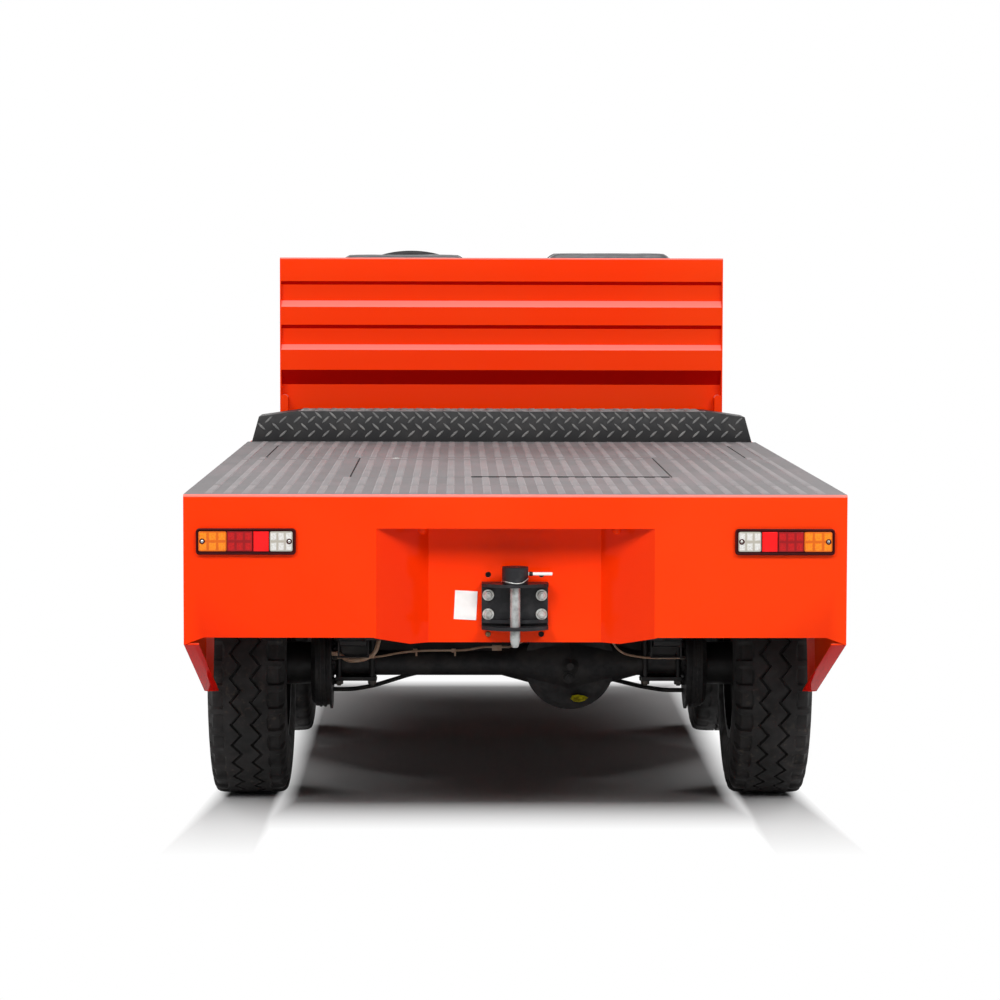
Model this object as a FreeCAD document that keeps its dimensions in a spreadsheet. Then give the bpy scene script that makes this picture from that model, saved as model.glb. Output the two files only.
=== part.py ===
"""Electric platform truck, as a parametric FreeCAD document, in millimetres.

+Z is up, +Y points to the cab and +X to the right as seen from behind. The origin lies
on the ground in the middle of the truck. Every size is a cell of the spreadsheet.
"""
import FreeCAD, Part
import math
import os

import Sketcher

DOC = FreeCAD.newDocument("platform_truck")

SIZES = {
    # overall
    "truck_length": 3724, "truck_width": 1600, "panel_wall": 4, "lip_radius": 8, "lamp_depth": 12,
    "bumper_depth": 62, "fit_gap": 0.3, "running_gap": 0.08,
    # deck
    "deck_height": 885, "deck_length": 2490, "deck_wall": 5, "lid_gap": 5,
    "hatch_start": 677, "hatch_length": 899, "hatch_width": 846,
    "cover_start": 1600, "cover_length": 656, "cover_width": 1387,
    "ledge_width": 20, "ledge_wall": 8, "rib_depth": 30, "rib_width": 40,
    # wheels
    "tyre_radius": 353, "tyre_width": 210, "tread_width": 184, "bead_radius": 190,
    "bead_width": 167, "rim_wall": 7, "flange_height": 16, "flange_wall": 6,
    "rear_track": 1386, "front_track": 1370, "rear_axle_start": 1066, "wheelbase": 1225,
    "spindle_radius": 20, "hub_radius": 65, "hub_end": 40, "disc_offset": 24, "disc_wall": 9,
    "vent_radius": 15, "vent_circle": 140,
    # side panels
    "skirt_height": 327, "skirt_rear_height": 521, "skirt_flange": 33, "arch_flange": 20,
    "rear_arch_radius": 415, "front_arch_radius": 455,
    # rear face
    "panel_bottom": 539, "recess_width": 672, "recess_back_width": 422, "recess_depth": 110,
    "recess_top": 803, "recess_bottom": 516, "recess_slope_end": 255, "corner_width": 48,
    "lamp_offset": 649, "lamp_height": 772, "lamp_width": 240, "lamp_size": 63,
    # coupling
    "bracket_width": 162, "bracket_low": 552, "bracket_high": 665, "bracket_wall": 12,
    "jaw_wall": 8, "jaw_high": 665, "jaw_side": 60, "jaw_bend": 102, "flange_side": 90,
    "flange_bend": 160, "flange_low": 566, "flange_wall_low": 8, "pin_setback": 48, "pin_radius": 12.5,
    "pin_low": 510, "pin_head_radius": 29, "pin_head_height": 42, "handle_radius": 4,
    "handle_length": 57, "hole_spacing_across": 130, "hole_high": 682, "hole_low": 536,
    "bolt_hole_radius": 7, "bolt_head_radius": 13, "bolt_head_height": 9,
    "bolt_high": 634, "bolt_low": 587,
    # frame
    "rail_centre": 330, "rail_width": 70, "rail_low": 520, "rail_high": 660, "rail_wall": 8,
    "beam_low": 820, "beam_width": 60, "seat_base_start": 2734, "seat_base_end": 3230,
    "outrigger_low": 560, "outrigger_high": 620, "hanger_wall": 8,
    # load-side ledge and headboard
    "kick_width": 1578, "kick_shoulder_width": 1531, "kick_flat_width": 1282,
    "kick_shoulder": 79, "kick_height": 97, "kick_depth": 165,
    "headboard_start": 2660, "headboard_top": 1460, "headboard_width": 1415,
    "corrugation": 20, "foot_recess": 52, "tab_width": 25, "tab_top": 1027,
    # cab
    "floor_height": 430, "floor_wall": 6, "sill_depth": 60, "sill_width": 56,
    "seat_base_top": 860, "cowl_bottom": 330, "cowl_shoulder": 900, "cowl_top": 1060,
    "cowl_top_half": 738, "cowl_corner_low": 880, "cowl_corner_high": 935,
    "bumper_low": 345, "bumper_high": 475, "headlight_radius": 85, "headlight_offset": 590,
    "headlight_height": 745, "headlight_depth": 26,
    "driver_offset": 315, "passenger_offset": 355, "cushion_width": 450, "cushion_length": 440,
    "cushion_height": 110, "backrest_setback": 70, "cushion_setback": 72, "backrest_thickness": 85,
    "backrest_lean": 8, "backrest_top": 1481,
    "wheel_offset": 300, "wheel_setback": 320, "wheel_height": 1396, "wheel_radius": 178,
    "wheel_grip": 12, "column_lean": 28, "column_radius": 24, "column_length": 596,
    # running gear
    "axle_tube_radius": 34, "diff_offset": 166, "diff_radius": 118, "diff_depth": 92,
    "drum_start": 480, "drum_end": 536, "drum_radius": 118, "plate_radius": 125,
    "spring_offset": 417, "spring_width": 70, "leaf_wall": 10, "leaf_count": 5,
    "spring_half": 430, "spring_curve": 1500, "front_spring_half": 400,
    "front_spring_curve": 2000, "eye_radius": 20, "seat_block": 36,
    "bolt_leg_radius": 7, "bolt_leg_across": 45, "bolt_leg_along": 42,
    "motor_radius": 104, "motor_length": 262,
    "battery_width": 560, "battery_start": 1622, "battery_length": 608,
    "battery_low": 430, "battery_high": 808,
    "kingpin_offset": 560, "kingpin_radius": 15, "boss_radius": 34, "boss_height": 90,
    "yoke_wall": 28, "yoke_start": 600, "yoke_end": 630, "yoke_half_width": 45,
    "steer_arm": 150, "steer_arm_width": 40, "tie_radius": 11, "tie_pin_radius": 8,
    "beam_axle_height": 70, "beam_axle_width": 60,
    "cable_radius": 6, "cable_height": 272, "pipe_radius": 3, "equaliser_start": 1866,
    "shield_start": 1600, "shield_half_width": 560, "shield_low": 292, "shield_wall": 5,
}


class Size:
    """A length that knows both its value and the spreadsheet expression behind it."""

    def __init__(self, value, text):
        self.value = float(value)
        self.text = text

    @staticmethod
    def of(number):
        """Return number as a Size, whether it is one or a plain number."""
        if isinstance(number, Size):
            return number
        return Size(number, "%.6f" % number)

    def _join(self, other, sign, value):
        return Size(value, "(%s %s %s)" % (self.text, sign, Size.of(other).text))

    def __add__(self, other):
        return self._join(other, "+", self.value + Size.of(other).value)

    def __sub__(self, other):
        return self._join(other, "-", self.value - Size.of(other).value)

    def __mul__(self, other):
        return self._join(other, "*", self.value * Size.of(other).value)

    def __truediv__(self, other):
        return self._join(other, "/", self.value / Size.of(other).value)

    def __radd__(self, other):
        return Size.of(other) + self

    def __rsub__(self, other):
        return Size.of(other) - self

    def __rmul__(self, other):
        return Size.of(other) * self

    def __neg__(self):
        return Size(-self.value, "(0 - %s)" % self.text)

    def root(self):
        """Return the square root."""
        return Size(math.sqrt(self.value), "sqrt(%s)" % self.text)

    def sine(self):
        """Return the sine of this angle in degrees."""
        return Size(math.sin(math.radians(self.value)), "sin(%s * 1 deg)" % self.text)

    def cosine(self):
        """Return the cosine of this angle in degrees."""
        return Size(math.cos(math.radians(self.value)), "cos(%s * 1 deg)" % self.text)


class Cells:
    """Gives each named cell of the spreadsheet as a Size attribute."""

    def __init__(self, table):
        self._table = table

    def __getattr__(self, alias):
        return Size(self._table[alias], "Sizes.%s" % alias)


def fill_sheet(table):
    """Write one row per size: its name, and its value under that alias."""
    sheet = DOC.addObject("Spreadsheet::Sheet", "Sizes")
    for row, (alias, value) in enumerate(table.items(), start=1):
        sheet.set("A%d" % row, alias)
        sheet.set("B%d" % row, str(value))
        sheet.setAlias("B%d" % row, alias)
    DOC.recompute()


fill_sheet(SIZES)
s = Cells(SIZES)

# Places along the truck are measured forward from the rear face.
REAR = s.lamp_depth - s.truck_length / 2
FRONT = s.truck_length / 2
COWL = FRONT - s.bumper_depth
HALF_WIDTH = s.truck_width / 2
INSIDE = HALF_WIDTH - s.panel_wall
DECK_UNDER = s.deck_height - s.deck_wall
REAR_AXLE = REAR + s.rear_axle_start
FRONT_AXLE = REAR_AXLE + s.wheelbase
AXLE_HEIGHT = s.tyre_radius
RAIL_INNER = s.rail_centre - s.rail_width / 2
RAIL_OUTER = s.rail_centre + s.rail_width / 2
SIDES = {"left": -1, "right": 1}
X_AXIS = FreeCAD.Vector(1, 0, 0)
Y_AXIS = FreeCAD.Vector(0, 1, 0)
Z_AXIS = FreeCAD.Vector(0, 0, 1)
VIEWS = {"plan": ("XY_Plane", "z"), "front": ("XZ_Plane", "y"), "side": ("YZ_Plane", "x")}


def bind(item, prop, length):
    """Tie one property of item to its spreadsheet expression."""
    item.setExpression(prop, Size.of(length).text)


def place(item, x=0, y=0, z=0):
    """Tie the place of item to expressions, keeping its rotation."""
    for axis, length in zip("xyz", (x, y, z)):
        bind(item, "Placement.Base.%s" % axis, length)
    return item


def box(name, low, high):
    """Return a box between two opposite corners."""
    item = DOC.addObject("Part::Box", name)
    for prop, start, end in zip(("Length", "Width", "Height"), low, high):
        bind(item, prop, Size.of(end) - start)
    return place(item, *low)


def turned(direction, angle=None):
    """Return the rotation that carries +Z on to direction."""
    return FreeCAD.Rotation(Z_AXIS, direction) if angle is None else FreeCAD.Rotation(direction, angle)


def cylinder(name, radius, length, start, direction=Z_AXIS):
    """Return a cylinder that starts at a point and runs along direction."""
    item = DOC.addObject("Part::Cylinder", name)
    item.Placement.Rotation = turned(direction)
    bind(item, "Radius", radius)
    bind(item, "Height", length)
    return place(item, *start)


def cone(name, first, second, length, start, direction=Z_AXIS):
    """Return a cone between two radii."""
    item = DOC.addObject("Part::Cone", name)
    item.Placement.Rotation = turned(direction)
    bind(item, "Radius1", first)
    bind(item, "Radius2", second)
    bind(item, "Height", length)
    return place(item, *start)


def fuse(name, *items):
    """Join items into one solid."""
    item = DOC.addObject("Part::MultiFuse", name)
    item.Shapes = list(items)
    item.Refine = True
    return item


def cut(name, base, *tools):
    """Take tools away from base."""
    item = DOC.addObject("Part::Cut", name)
    item.Base = base
    item.Tool = tools[0] if len(tools) == 1 else fuse(name + "_tools", *tools)
    return item


def group(name, *items):
    """Hold separate solids together as one sub-part."""
    item = DOC.addObject("Part::Compound", name)
    item.Links = list(items)
    return item


def mirrored(name, source):
    """Return the mirror image of source on the other side of the truck."""
    item = DOC.addObject("Part::Mirroring", name)
    item.Source = source
    item.Normal = X_AXIS
    item.Base = FreeCAD.Vector(0, 0, 0)
    return item


def mirror_points(points):
    """Return an outline's right half followed by its mirrored left half."""
    return list(points) + [(-Size.of(u), v) for u, v in reversed(points)]


def arc_middle(start, end, radius):
    """Return the middle point of the arc of that radius from start to end."""
    chord = end - start
    half = chord.Length / 2
    rise = abs(radius) - math.sqrt(max(radius * radius - half * half, 0))
    across = FreeCAD.Vector(chord.y, -chord.x, 0).normalize()
    return (start + end) * 0.5 + across * math.copysign(rise, radius)


def add_outline(sketch, points):
    """Draw a closed outline whose corners are tied to the sheet.

    A point is (u, v), or (u, v, radius) where the side that leaves it is an arc that
    bulges to the right of travel, or to the left if radius is negative.
    """
    corners = [FreeCAD.Vector(Size.of(p[0]).value, Size.of(p[1]).value, 0) for p in points]
    rules = []
    texts = []
    ends = []
    for index, point in enumerate(points):
        start = corners[index]
        end = corners[(index + 1) % len(points)]
        if len(point) == 3:
            middle = arc_middle(start, end, Size.of(point[2]).value)
            geometry = sketch.addGeometry(Part.Arc(start, middle, end))
            bend = Size.of(point[2])
            length = bend if bend.value > 0 else -bend
            rules.append(Sketcher.Constraint("Radius", geometry, length.value))
            texts.append(length.text)
        else:
            geometry = sketch.addGeometry(Part.LineSegment(start, end))
        forward = sketch.getPoint(geometry, 1).distanceToPoint(start) < 0.001
        ends.append((geometry, 1 if forward else 2, 2 if forward else 1))
    for index, point in enumerate(points):
        geometry, first, _ = ends[index]
        previous, _, last = ends[index - 1]
        rules.append(Sketcher.Constraint("Coincident", previous, last, geometry, first))
        texts.append(None)
        for kind, length in (("DistanceX", point[0]), ("DistanceY", point[1])):
            length = Size.of(length)
            rules.append(Sketcher.Constraint(kind, -1, 1, geometry, first, length.value))
            texts.append(length.text)
    offset = sketch.ConstraintCount
    sketch.addConstraint(rules)
    for index, text in enumerate(texts):
        if text is not None:
            sketch.setExpression("Constraints[%d]" % (offset + index), text)


def start_body(name, view, outlines):
    """Return a new body and its sketch of closed outlines on one of its planes."""
    body = DOC.addObject("PartDesign::Body", name)
    role, _ = VIEWS[view]
    plane = next(item for item in body.Origin.OriginFeatures if item.Role == role)
    sketch = body.newObject("Sketcher::SketchObject", name + "_sketch")
    sketch.AttachmentSupport = (plane, [""])
    sketch.MapMode = "FlatFace"
    for points in outlines:
        add_outline(sketch, points)
    return body, sketch


def extrude(name, view, outlines, start, length):
    """Pad closed outlines from start along the axis that the view looks along."""
    body, sketch = start_body(name, view, outlines)
    pad = body.newObject("PartDesign::Pad", name + "_pad")
    pad.Profile = sketch
    bind(pad, "Length", length)
    pad.Reversed = view == "front"
    sketch.Visibility = False
    places = {VIEWS[view][1]: start}
    place(body, **places)
    return body


def revolve(name, view, points, x=0, y=0, z=0, axis="H_Axis"):
    """Turn a closed outline round one axis of its sketch."""
    body, sketch = start_body(name, view, [points])
    turn = body.newObject("PartDesign::Revolution", name + "_turn")
    turn.Profile = sketch
    turn.ReferenceAxis = (sketch, [axis])
    turn.Angle = 360
    sketch.Visibility = False
    return place(body, x, y, z)


def strip(points, wall_u, wall_v):
    """Return the outline of a bent sheet: its face, then the same face moved by the wall."""
    back = [(u + wall_u, v + wall_v) for u, v in reversed(points)]
    return list(points) + back


def label(item, name):
    """Name a finished sub-part after its file."""
    item.Label = name
    NODES.append(item)
    return item


def tube_along(name, points, radius):
    """Return a round tube along straight runs joined by tangent arcs."""
    corners = [FreeCAD.Vector(*[Size.of(value).value for value in point]) for point in points]
    runs = [(b - a).Length for a, b in zip(corners, corners[1:])]
    edges = []
    here = corners[0]
    for index in range(1, len(corners) - 1):
        before = (corners[index - 1] - corners[index]).normalize()
        after = (corners[index + 1] - corners[index]).normalize()
        turn = math.pi - before.getAngle(after)
        shorter = min(runs[index - 1], runs[index])
        reach = 0.45 * shorter
        bend = reach / math.tan(turn / 2)
        first = corners[index] + before * reach
        last = corners[index] + after * reach
        centre = corners[index] + (before + after).normalize() * (bend / math.cos(turn / 2))
        middle = centre + (corners[index] - centre).normalize() * bend
        print("%s bend %d radius %.0f" % (name, index, bend))
        edges.append(Part.LineSegment(here, first).toShape())
        edges.append(Part.Arc(first, middle, last).toShape())
        here = last
    edges.append(Part.LineSegment(here, corners[-1]).toShape())
    path = Part.Wire(edges)
    ring = Part.Circle(corners[0], corners[1] - corners[0], Size.of(radius).value).toShape()
    item = DOC.addObject("Part::Feature", name)
    item.Shape = path.makePipeShell([Part.Wire(ring)], True, False)
    return item


NODES = []


# ---------------------------------------------------------------- bodywork

def make_rear_panel():
    """Rear face with the coupling recess folded into it."""
    half = s.recess_width / 2
    back = s.recess_back_width / 2
    corner = HALF_WIDTH - s.corner_width
    lip = s.lip_radius
    top = s.deck_height
    face = extrude("rear_face", "front", [mirror_points([
        (HALF_WIDTH, top - lip), (HALF_WIDTH, s.skirt_rear_height), (corner, s.panel_bottom),
        (half, s.panel_bottom), (half, s.recess_top)])], REAR, s.panel_wall)
    fold = extrude("rear_lip", "side", [[
        (REAR, top - lip, -lip), (REAR + lip, top), (REAR + lip, top - s.panel_wall, lip - s.panel_wall),
        (REAR + s.panel_wall, top - lip)]], -HALF_WIDTH, s.truck_width)
    outer = [(half + s.panel_wall * 1.5, REAR),
             (back + s.panel_wall * 0.4, REAR + s.recess_depth + s.panel_wall)]
    inner = [(back, REAR + s.recess_depth), (half, REAR)]
    wall = extrude("recess_wall", "plan", [
        mirror_points(outer)[:3] + [(-outer[0][0], outer[0][1]), (-half, REAR)]
        + [(-back, REAR + s.recess_depth)] + inner],
        s.recess_bottom, s.recess_top - s.recess_bottom)
    roof = extrude("recess_roof", "plan", [mirror_points(outer)],
                   s.recess_top, s.panel_wall)
    panel = fuse("rear_sheet", face, fold, wall, roof)
    tools = spare_holes("panel")
    for name, side in SIDES.items():
        edge = (half + s.panel_wall * 2) * side
        tools.append(extrude("recess_slope_" + name, "front", [[
            (edge, s.panel_bottom), (s.recess_slope_end * side, s.recess_bottom),
            (edge, s.recess_bottom - 1)]], REAR - 1, s.recess_depth + 20))
    label(cut("rear_panel_cut", panel, *tools), "rear_panel")


def spare_holes(name):
    """Return the drills of the four spare coupling holes."""
    drills = []
    for side in (-1, 1):
        for z in (s.hole_low, s.hole_high):
            drills.append(cylinder("%s_hole_%d" % (name, len(drills)), s.bolt_hole_radius, 60,
                                   (side * s.hole_spacing_across / 2, REAR + s.recess_depth - 20, z),
                                   Y_AXIS))
    return drills


def arch_half(radius):
    """Return how far an arch reaches along the bottom edge from its wheel centre."""
    drop = AXLE_HEIGHT - s.skirt_height
    return (radius * radius - drop * drop).root()


def make_side_panels():
    """Side panels with both wheel arches, a folded bottom edge and rolled arch edges."""
    low = s.skirt_height
    wall = s.panel_wall
    rear_half = arch_half(s.rear_arch_radius)
    front_half = arch_half(s.front_arch_radius)
    rear_from = REAR_AXLE - rear_half
    rear_to = REAR_AXLE + rear_half
    front_from = FRONT_AXLE - front_half
    front_to = FRONT_AXLE + front_half
    start = REAR + s.panel_wall
    end = REAR + s.seat_base_end
    shoulder = REAR + s.headboard_start
    lip = s.lip_radius
    face = extrude("side_face", "side", [[
        (REAR + lip, DECK_UNDER), (REAR + lip, s.deck_height - lip),
        (start, s.deck_height - lip), (start, s.skirt_rear_height),
        (rear_from, low, -s.rear_arch_radius), (rear_to, low),
        (front_from, low, -s.front_arch_radius), (front_to, low),
        (end, low), (end, s.seat_base_top), (shoulder, s.seat_base_top),
        (shoulder, DECK_UNDER)]], INSIDE, wall)
    slope = extrude("skirt_slope_flange", "side", [[
        (start, s.skirt_rear_height), (rear_from, low),
        (rear_from, low + wall), (start, s.skirt_rear_height + wall)]],
        INSIDE - s.skirt_flange, s.skirt_flange)
    middle = box("skirt_middle_flange", (INSIDE - s.skirt_flange, rear_to, low),
                 (INSIDE, front_from, low + wall))
    ahead = box("skirt_front_flange", (INSIDE - s.skirt_flange, front_to, low),
                (INSIDE, end, low + wall))
    rolls = []
    for name, centre, radius in (("rear", REAR_AXLE, s.rear_arch_radius),
                                 ("front", FRONT_AXLE, s.front_arch_radius)):
        near = arch_half(radius)
        far = arch_half(radius + wall)
        rolls.append(extrude(name + "_arch_roll", "side", [[
            (centre - near, low, -radius), (centre + near, low),
            (centre + far, low, radius + wall), (centre - far, low)]],
            INSIDE - s.arch_flange, s.arch_flange))
    right = fuse("side_panel_right_sheet", face, slope, middle, ahead, *rolls)
    label(right, "side_panel_right")
    label(mirrored("side_panel_left_sheet", right), "side_panel_left")


def deck_opening(start, length, width, gap=0):
    """Return the outline of one lid or its opening, smaller by gap."""
    low = REAR + start + gap
    high = REAR + start + length - gap
    half = width / 2 - gap
    return [(half, low), (half, high), (-half, high), (-half, low)]


def make_deck():
    """Deck plate over the side panels' top edges, with its two openings."""
    low = REAR + s.lip_radius
    high = REAR + s.deck_length
    half = HALF_WIDTH
    plate = extrude("deck_sheet", "plan", [
        [(half, low), (half, high), (-half, high), (-half, low)],
        deck_opening(s.hatch_start, s.hatch_length, s.hatch_width),
        deck_opening(s.cover_start, s.cover_length, s.cover_width)],
        DECK_UNDER, s.deck_wall)
    label(plate, "deck_plate")


def make_lid(name, start, length, width):
    """A flush lid with two stiffening ribs that hang inside its opening."""
    plate = extrude(name + "_plate", "plan", [deck_opening(start, length, width, s.lid_gap)],
                    DECK_UNDER, s.deck_wall)
    inset = s.ledge_width + s.lid_gap * 2
    ribs = [box("%s_rib_%d" % (name, index),
                (side * width / 4 - s.rib_width / 2, REAR + start + inset,
                 DECK_UNDER - s.rib_depth),
                (side * width / 4 + s.rib_width / 2, REAR + start + length - inset, DECK_UNDER))
            for index, side in enumerate((-1, 1))]
    label(fuse(name + "_lid", plate, *ribs), name)


def make_kick_plate():
    """Raised ledge across the front of the deck: a folded tray open to the cab."""
    wall = s.panel_wall
    low = DECK_UNDER
    rise = s.deck_height
    start = REAR + s.deck_length
    outer = mirror_points([(s.kick_width / 2, low), (s.kick_shoulder_width / 2, rise + s.kick_shoulder),
                           (s.kick_flat_width / 2, rise + s.kick_height)])
    inner = mirror_points([(s.kick_width / 2 - wall, low - 1),
                           (s.kick_shoulder_width / 2 - wall, rise + s.kick_shoulder - wall),
                           (s.kick_flat_width / 2 - wall, rise + s.kick_height - wall)])
    solid = extrude("ledge_outer", "front", [outer], start, s.kick_depth)
    hollow = extrude("ledge_inner", "front", [inner], start + wall, s.kick_depth)
    label(cut("kick_plate_cut", solid, hollow), "kick_plate")


def make_headboard():
    """Corrugated headboard with a top flange, a recessed foot and two corner tabs."""
    face = REAR + s.headboard_start
    deep = face + s.corrugation
    foot = face + s.foot_recess
    wall = s.panel_wall
    bands = [(71, 11), (51, 20), (57, 12), (51, 17)]
    points = [(face, s.headboard_top)]
    height = s.headboard_top
    planes = [face, deep, face, deep, face]
    for index, (band, slope) in enumerate(bands):
        height = height - band
        points.append((planes[index], height))
        height = height - slope
        points.append((planes[index + 1], height))
    height = height - 64
    points.append((face, height))
    points.append((foot, height - 48))
    points.append((foot, DECK_UNDER))
    sheet = extrude("headboard_sheet", "side", [strip(points, wall, 0)],
                    -s.headboard_width / 2, s.headboard_width)
    flange = box("headboard_flange", (-s.headboard_width / 2, face, s.headboard_top),
                 (s.headboard_width / 2, deep + wall, s.headboard_top + wall))
    tabs = []
    half = s.headboard_width / 2
    for index, side in enumerate((-1, 1)):
        middle = (half - s.tab_width / 2) * side
        bar = box("tab_bar_%d" % index, (middle - s.tab_width / 2, face, DECK_UNDER),
                  (middle + s.tab_width / 2, foot, s.tab_top - s.tab_width / 2))
        top = cylinder("tab_top_%d" % index, s.tab_width / 2, s.foot_recess,
                       (middle, face, s.tab_top - s.tab_width / 2), Y_AXIS)
        tabs.extend((bar, top))
    end = extrude("headboard_end", "side", [[
        (face, s.headboard_top), (face, DECK_UNDER), (foot + wall, DECK_UNDER),
        (foot + wall, s.tab_top + 50), (deep + wall, s.tab_top + 100), (deep + wall, s.headboard_top)]],
        half - wall, wall)
    label(fuse("headboard_fuse", sheet, flange, end, mirrored("headboard_end_left", end), *tabs),
          "headboard")


# ---------------------------------------------------------------- frame

def pair(name, low, high):
    """Return two boxes, one each side, from the right-hand one's corners."""
    right = box(name + "_right", low, high)
    left = box(name + "_left", (-Size.of(high[0]),) + tuple(low[1:]),
               (-Size.of(low[0]),) + tuple(high[1:]))
    return [right, left]


def make_frame():
    """Welded ladder frame with deck beams, outriggers, hangers, battery tray and splash shield."""
    start = REAR + s.recess_depth + s.panel_wall
    wall = s.rail_wall
    parts = []
    end = REAR + s.seat_base_end - s.panel_wall
    rail = extrude("rail", "front", [[
        (RAIL_OUTER, s.rail_low), (RAIL_OUTER, s.rail_high), (RAIL_INNER, s.rail_high),
        (RAIL_INNER, s.rail_high - wall), (RAIL_OUTER - wall, s.rail_high - wall),
        (RAIL_OUTER - wall, s.rail_low + wall), (RAIL_INNER, s.rail_low + wall),
        (RAIL_INNER, s.rail_low)]], start, end - start)
    parts.extend((rail, mirrored("rail_left", rail)))
    web = box("rear_cross_web", (-RAIL_INNER, start, s.rail_low), (RAIL_INNER, start + wall, 700))
    parts.append(web)
    for name, at in (("rear", start + 6), ("hatch", REAR + s.hatch_start - s.beam_width),
                     ("lids", REAR + s.cover_start - 42),
                     ("front", REAR + s.cover_start + s.cover_length),
                     ("ledge", REAR + s.deck_length - 20),
                     ("headboard", REAR + s.headboard_start)):
        top = DECK_UNDER
        parts.append(box(name + "_deck_beam", (-INSIDE, at, s.beam_low),
                         (INSIDE, at + s.beam_width, top)))
        parts.extend(pair(name + "_post", (RAIL_INNER, at, s.rail_high - 1),
                          (RAIL_OUTER, at + s.beam_width, s.beam_low + 1)))
    parts.extend(ledge("hatch", s.hatch_start, s.hatch_length, s.hatch_width))
    parts.extend(ledge("cover", s.cover_start, s.cover_length, s.cover_width))
    for name, at in (("middle", REAR + 1520), ("fore", REAR + 1745)):
        parts.extend(pair(name + "_outrigger", (RAIL_OUTER - 1, at, s.outrigger_low),
                          (INSIDE, at + 50, s.outrigger_high)))
    parts.append(box("cab_cross_member", (-RAIL_OUTER + 1, end - 60, s.floor_height),
                     (RAIL_OUTER - 1, end, s.rail_high - 1)))
    parts.extend(pair("cab_post", (RAIL_INNER, REAR + s.seat_base_start + 10, s.floor_height),
                      (RAIL_OUTER, REAR + s.seat_base_start + 70, s.rail_low + 1)))
    parts.extend(rear_hangers())
    parts.extend(front_hangers())
    parts.extend(battery_tray())
    parts.append(box("splash_shield", (-s.shield_half_width, REAR + s.shield_start, s.shield_low),
                     (s.shield_half_width, REAR + s.shield_start + s.shield_wall, s.rail_low + 1)))
    label(cut("frame_cut", fuse("frame_weldment", *parts), *spare_holes("frame")), "chassis_frame")


def ledge(name, start, length, width):
    """Return the four strips that a flush lid rests on."""
    step = s.ledge_width
    low = REAR + start
    high = low + length
    half = width / 2
    outer = [(half + step, low - step), (half + step, high + step),
             (-half - step, high + step), (-half - step, low - step)]
    inner = [(half - step, low + step), (half - step, high - step),
             (-half + step, high - step), (-half + step, low + step)]
    return [extrude(name + "_ledge", "plan", [outer, inner], DECK_UNDER - s.ledge_wall, s.ledge_wall)]


def spring_rise(half, curve):
    """Return how much the main leaf climbs from its middle to its eye."""
    return curve - (curve * curve - half * half).root()


def spring_top(base):
    """Return the height of a spring stack's top face above its seat."""
    return base + s.leaf_wall * s.leaf_count


REAR_SEAT = AXLE_HEIGHT + s.axle_tube_radius
FRONT_SEAT = AXLE_HEIGHT + s.beam_axle_height / 2


def eye_height(base, half, curve):
    """Return the height of the spring eyes over a seat."""
    return spring_top(base) + spring_rise(half, curve) + s.eye_radius - s.leaf_wall


def rear_hangers():
    """Cheek plates outboard of the rails that hold the rear spring eyes."""
    parts = []
    wall = s.hanger_wall
    low = eye_height(REAR_SEAT, s.spring_half, s.spring_curve) - 25
    for end in (-1, 1):
        middle = REAR_AXLE + end * s.spring_half
        for name, x in (("inner", s.spring_offset - s.spring_width / 2 - wall),
                        ("outer", s.spring_offset + s.spring_width / 2)):
            parts.extend(pair("rear_hanger_%s_%d" % (name, end + 1),
                              (x, middle - 30, low), (x + wall, middle + 30, s.rail_high)))
        parts.extend(pair("rear_hanger_top_%d" % (end + 1),
                          (RAIL_OUTER - 1, middle - 30, s.rail_high - 70),
                          (s.spring_offset + s.spring_width / 2 + 1, middle + 30, s.rail_high)))
    return parts


def front_hangers():
    """Cheek plates under the rails that hold the front spring eyes."""
    parts = []
    wall = s.hanger_wall
    low = eye_height(FRONT_SEAT, s.front_spring_half, s.front_spring_curve) - 25
    half = s.spring_width / 2
    for end in (-1, 1):
        middle = FRONT_AXLE + end * s.front_spring_half
        for name, x in (("inner", s.rail_centre - half - wall), ("outer", s.rail_centre + half)):
            parts.extend(pair("front_hanger_%s_%d" % (name, end + 1),
                              (x, middle - 28, low), (x + wall, middle + 28, s.rail_low + 20)))
    return parts


def battery_tray():
    """Plate and side angles that carry the battery between the rails."""
    low = s.battery_low - 8
    start = REAR + s.battery_start - 6
    end = start + s.battery_length + 12
    half = s.battery_width / 2
    parts = [box("tray_floor", (-half - 8, start, low), (half + 8, end, s.battery_low))]
    parts.extend(pair("tray_side", (half + 0.5, start, low), (half + 8, end, s.rail_low + 40)))
    parts.extend(pair("tray_weld", (half + 7, start, s.rail_low), (RAIL_INNER + 1, end, s.rail_low + 40)))
    middle = REAR + s.equaliser_start
    parts.append(box("equaliser_bracket", (-20, middle, s.cable_height - 14),
                     (20, middle + 10, low + 1)))
    return parts


# ---------------------------------------------------------------- cab

def make_seat_base():
    """Folded seat base between the side panels, with the rails passing through its back."""
    wall = s.panel_wall
    start = REAR + s.seat_base_start
    end = REAR + s.seat_base_end
    sheet = extrude("seat_base_sheet", "side", [[
        (start, s.floor_height), (start, s.seat_base_top), (end, s.seat_base_top),
        (end, s.floor_height), (end - wall, s.floor_height), (end - wall, s.seat_base_top - wall),
        (start + wall, s.seat_base_top - wall), (start + wall, s.floor_height)]],
        -INSIDE, INSIDE * 2)
    slots = pair("rail_slot", (RAIL_INNER - 2, start - 5, s.rail_low - 2),
                 (RAIL_OUTER + 2, start + wall + 5, s.rail_high + 2))
    label(cut("seat_base_cut", sheet, *slots), "seat_base")


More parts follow.
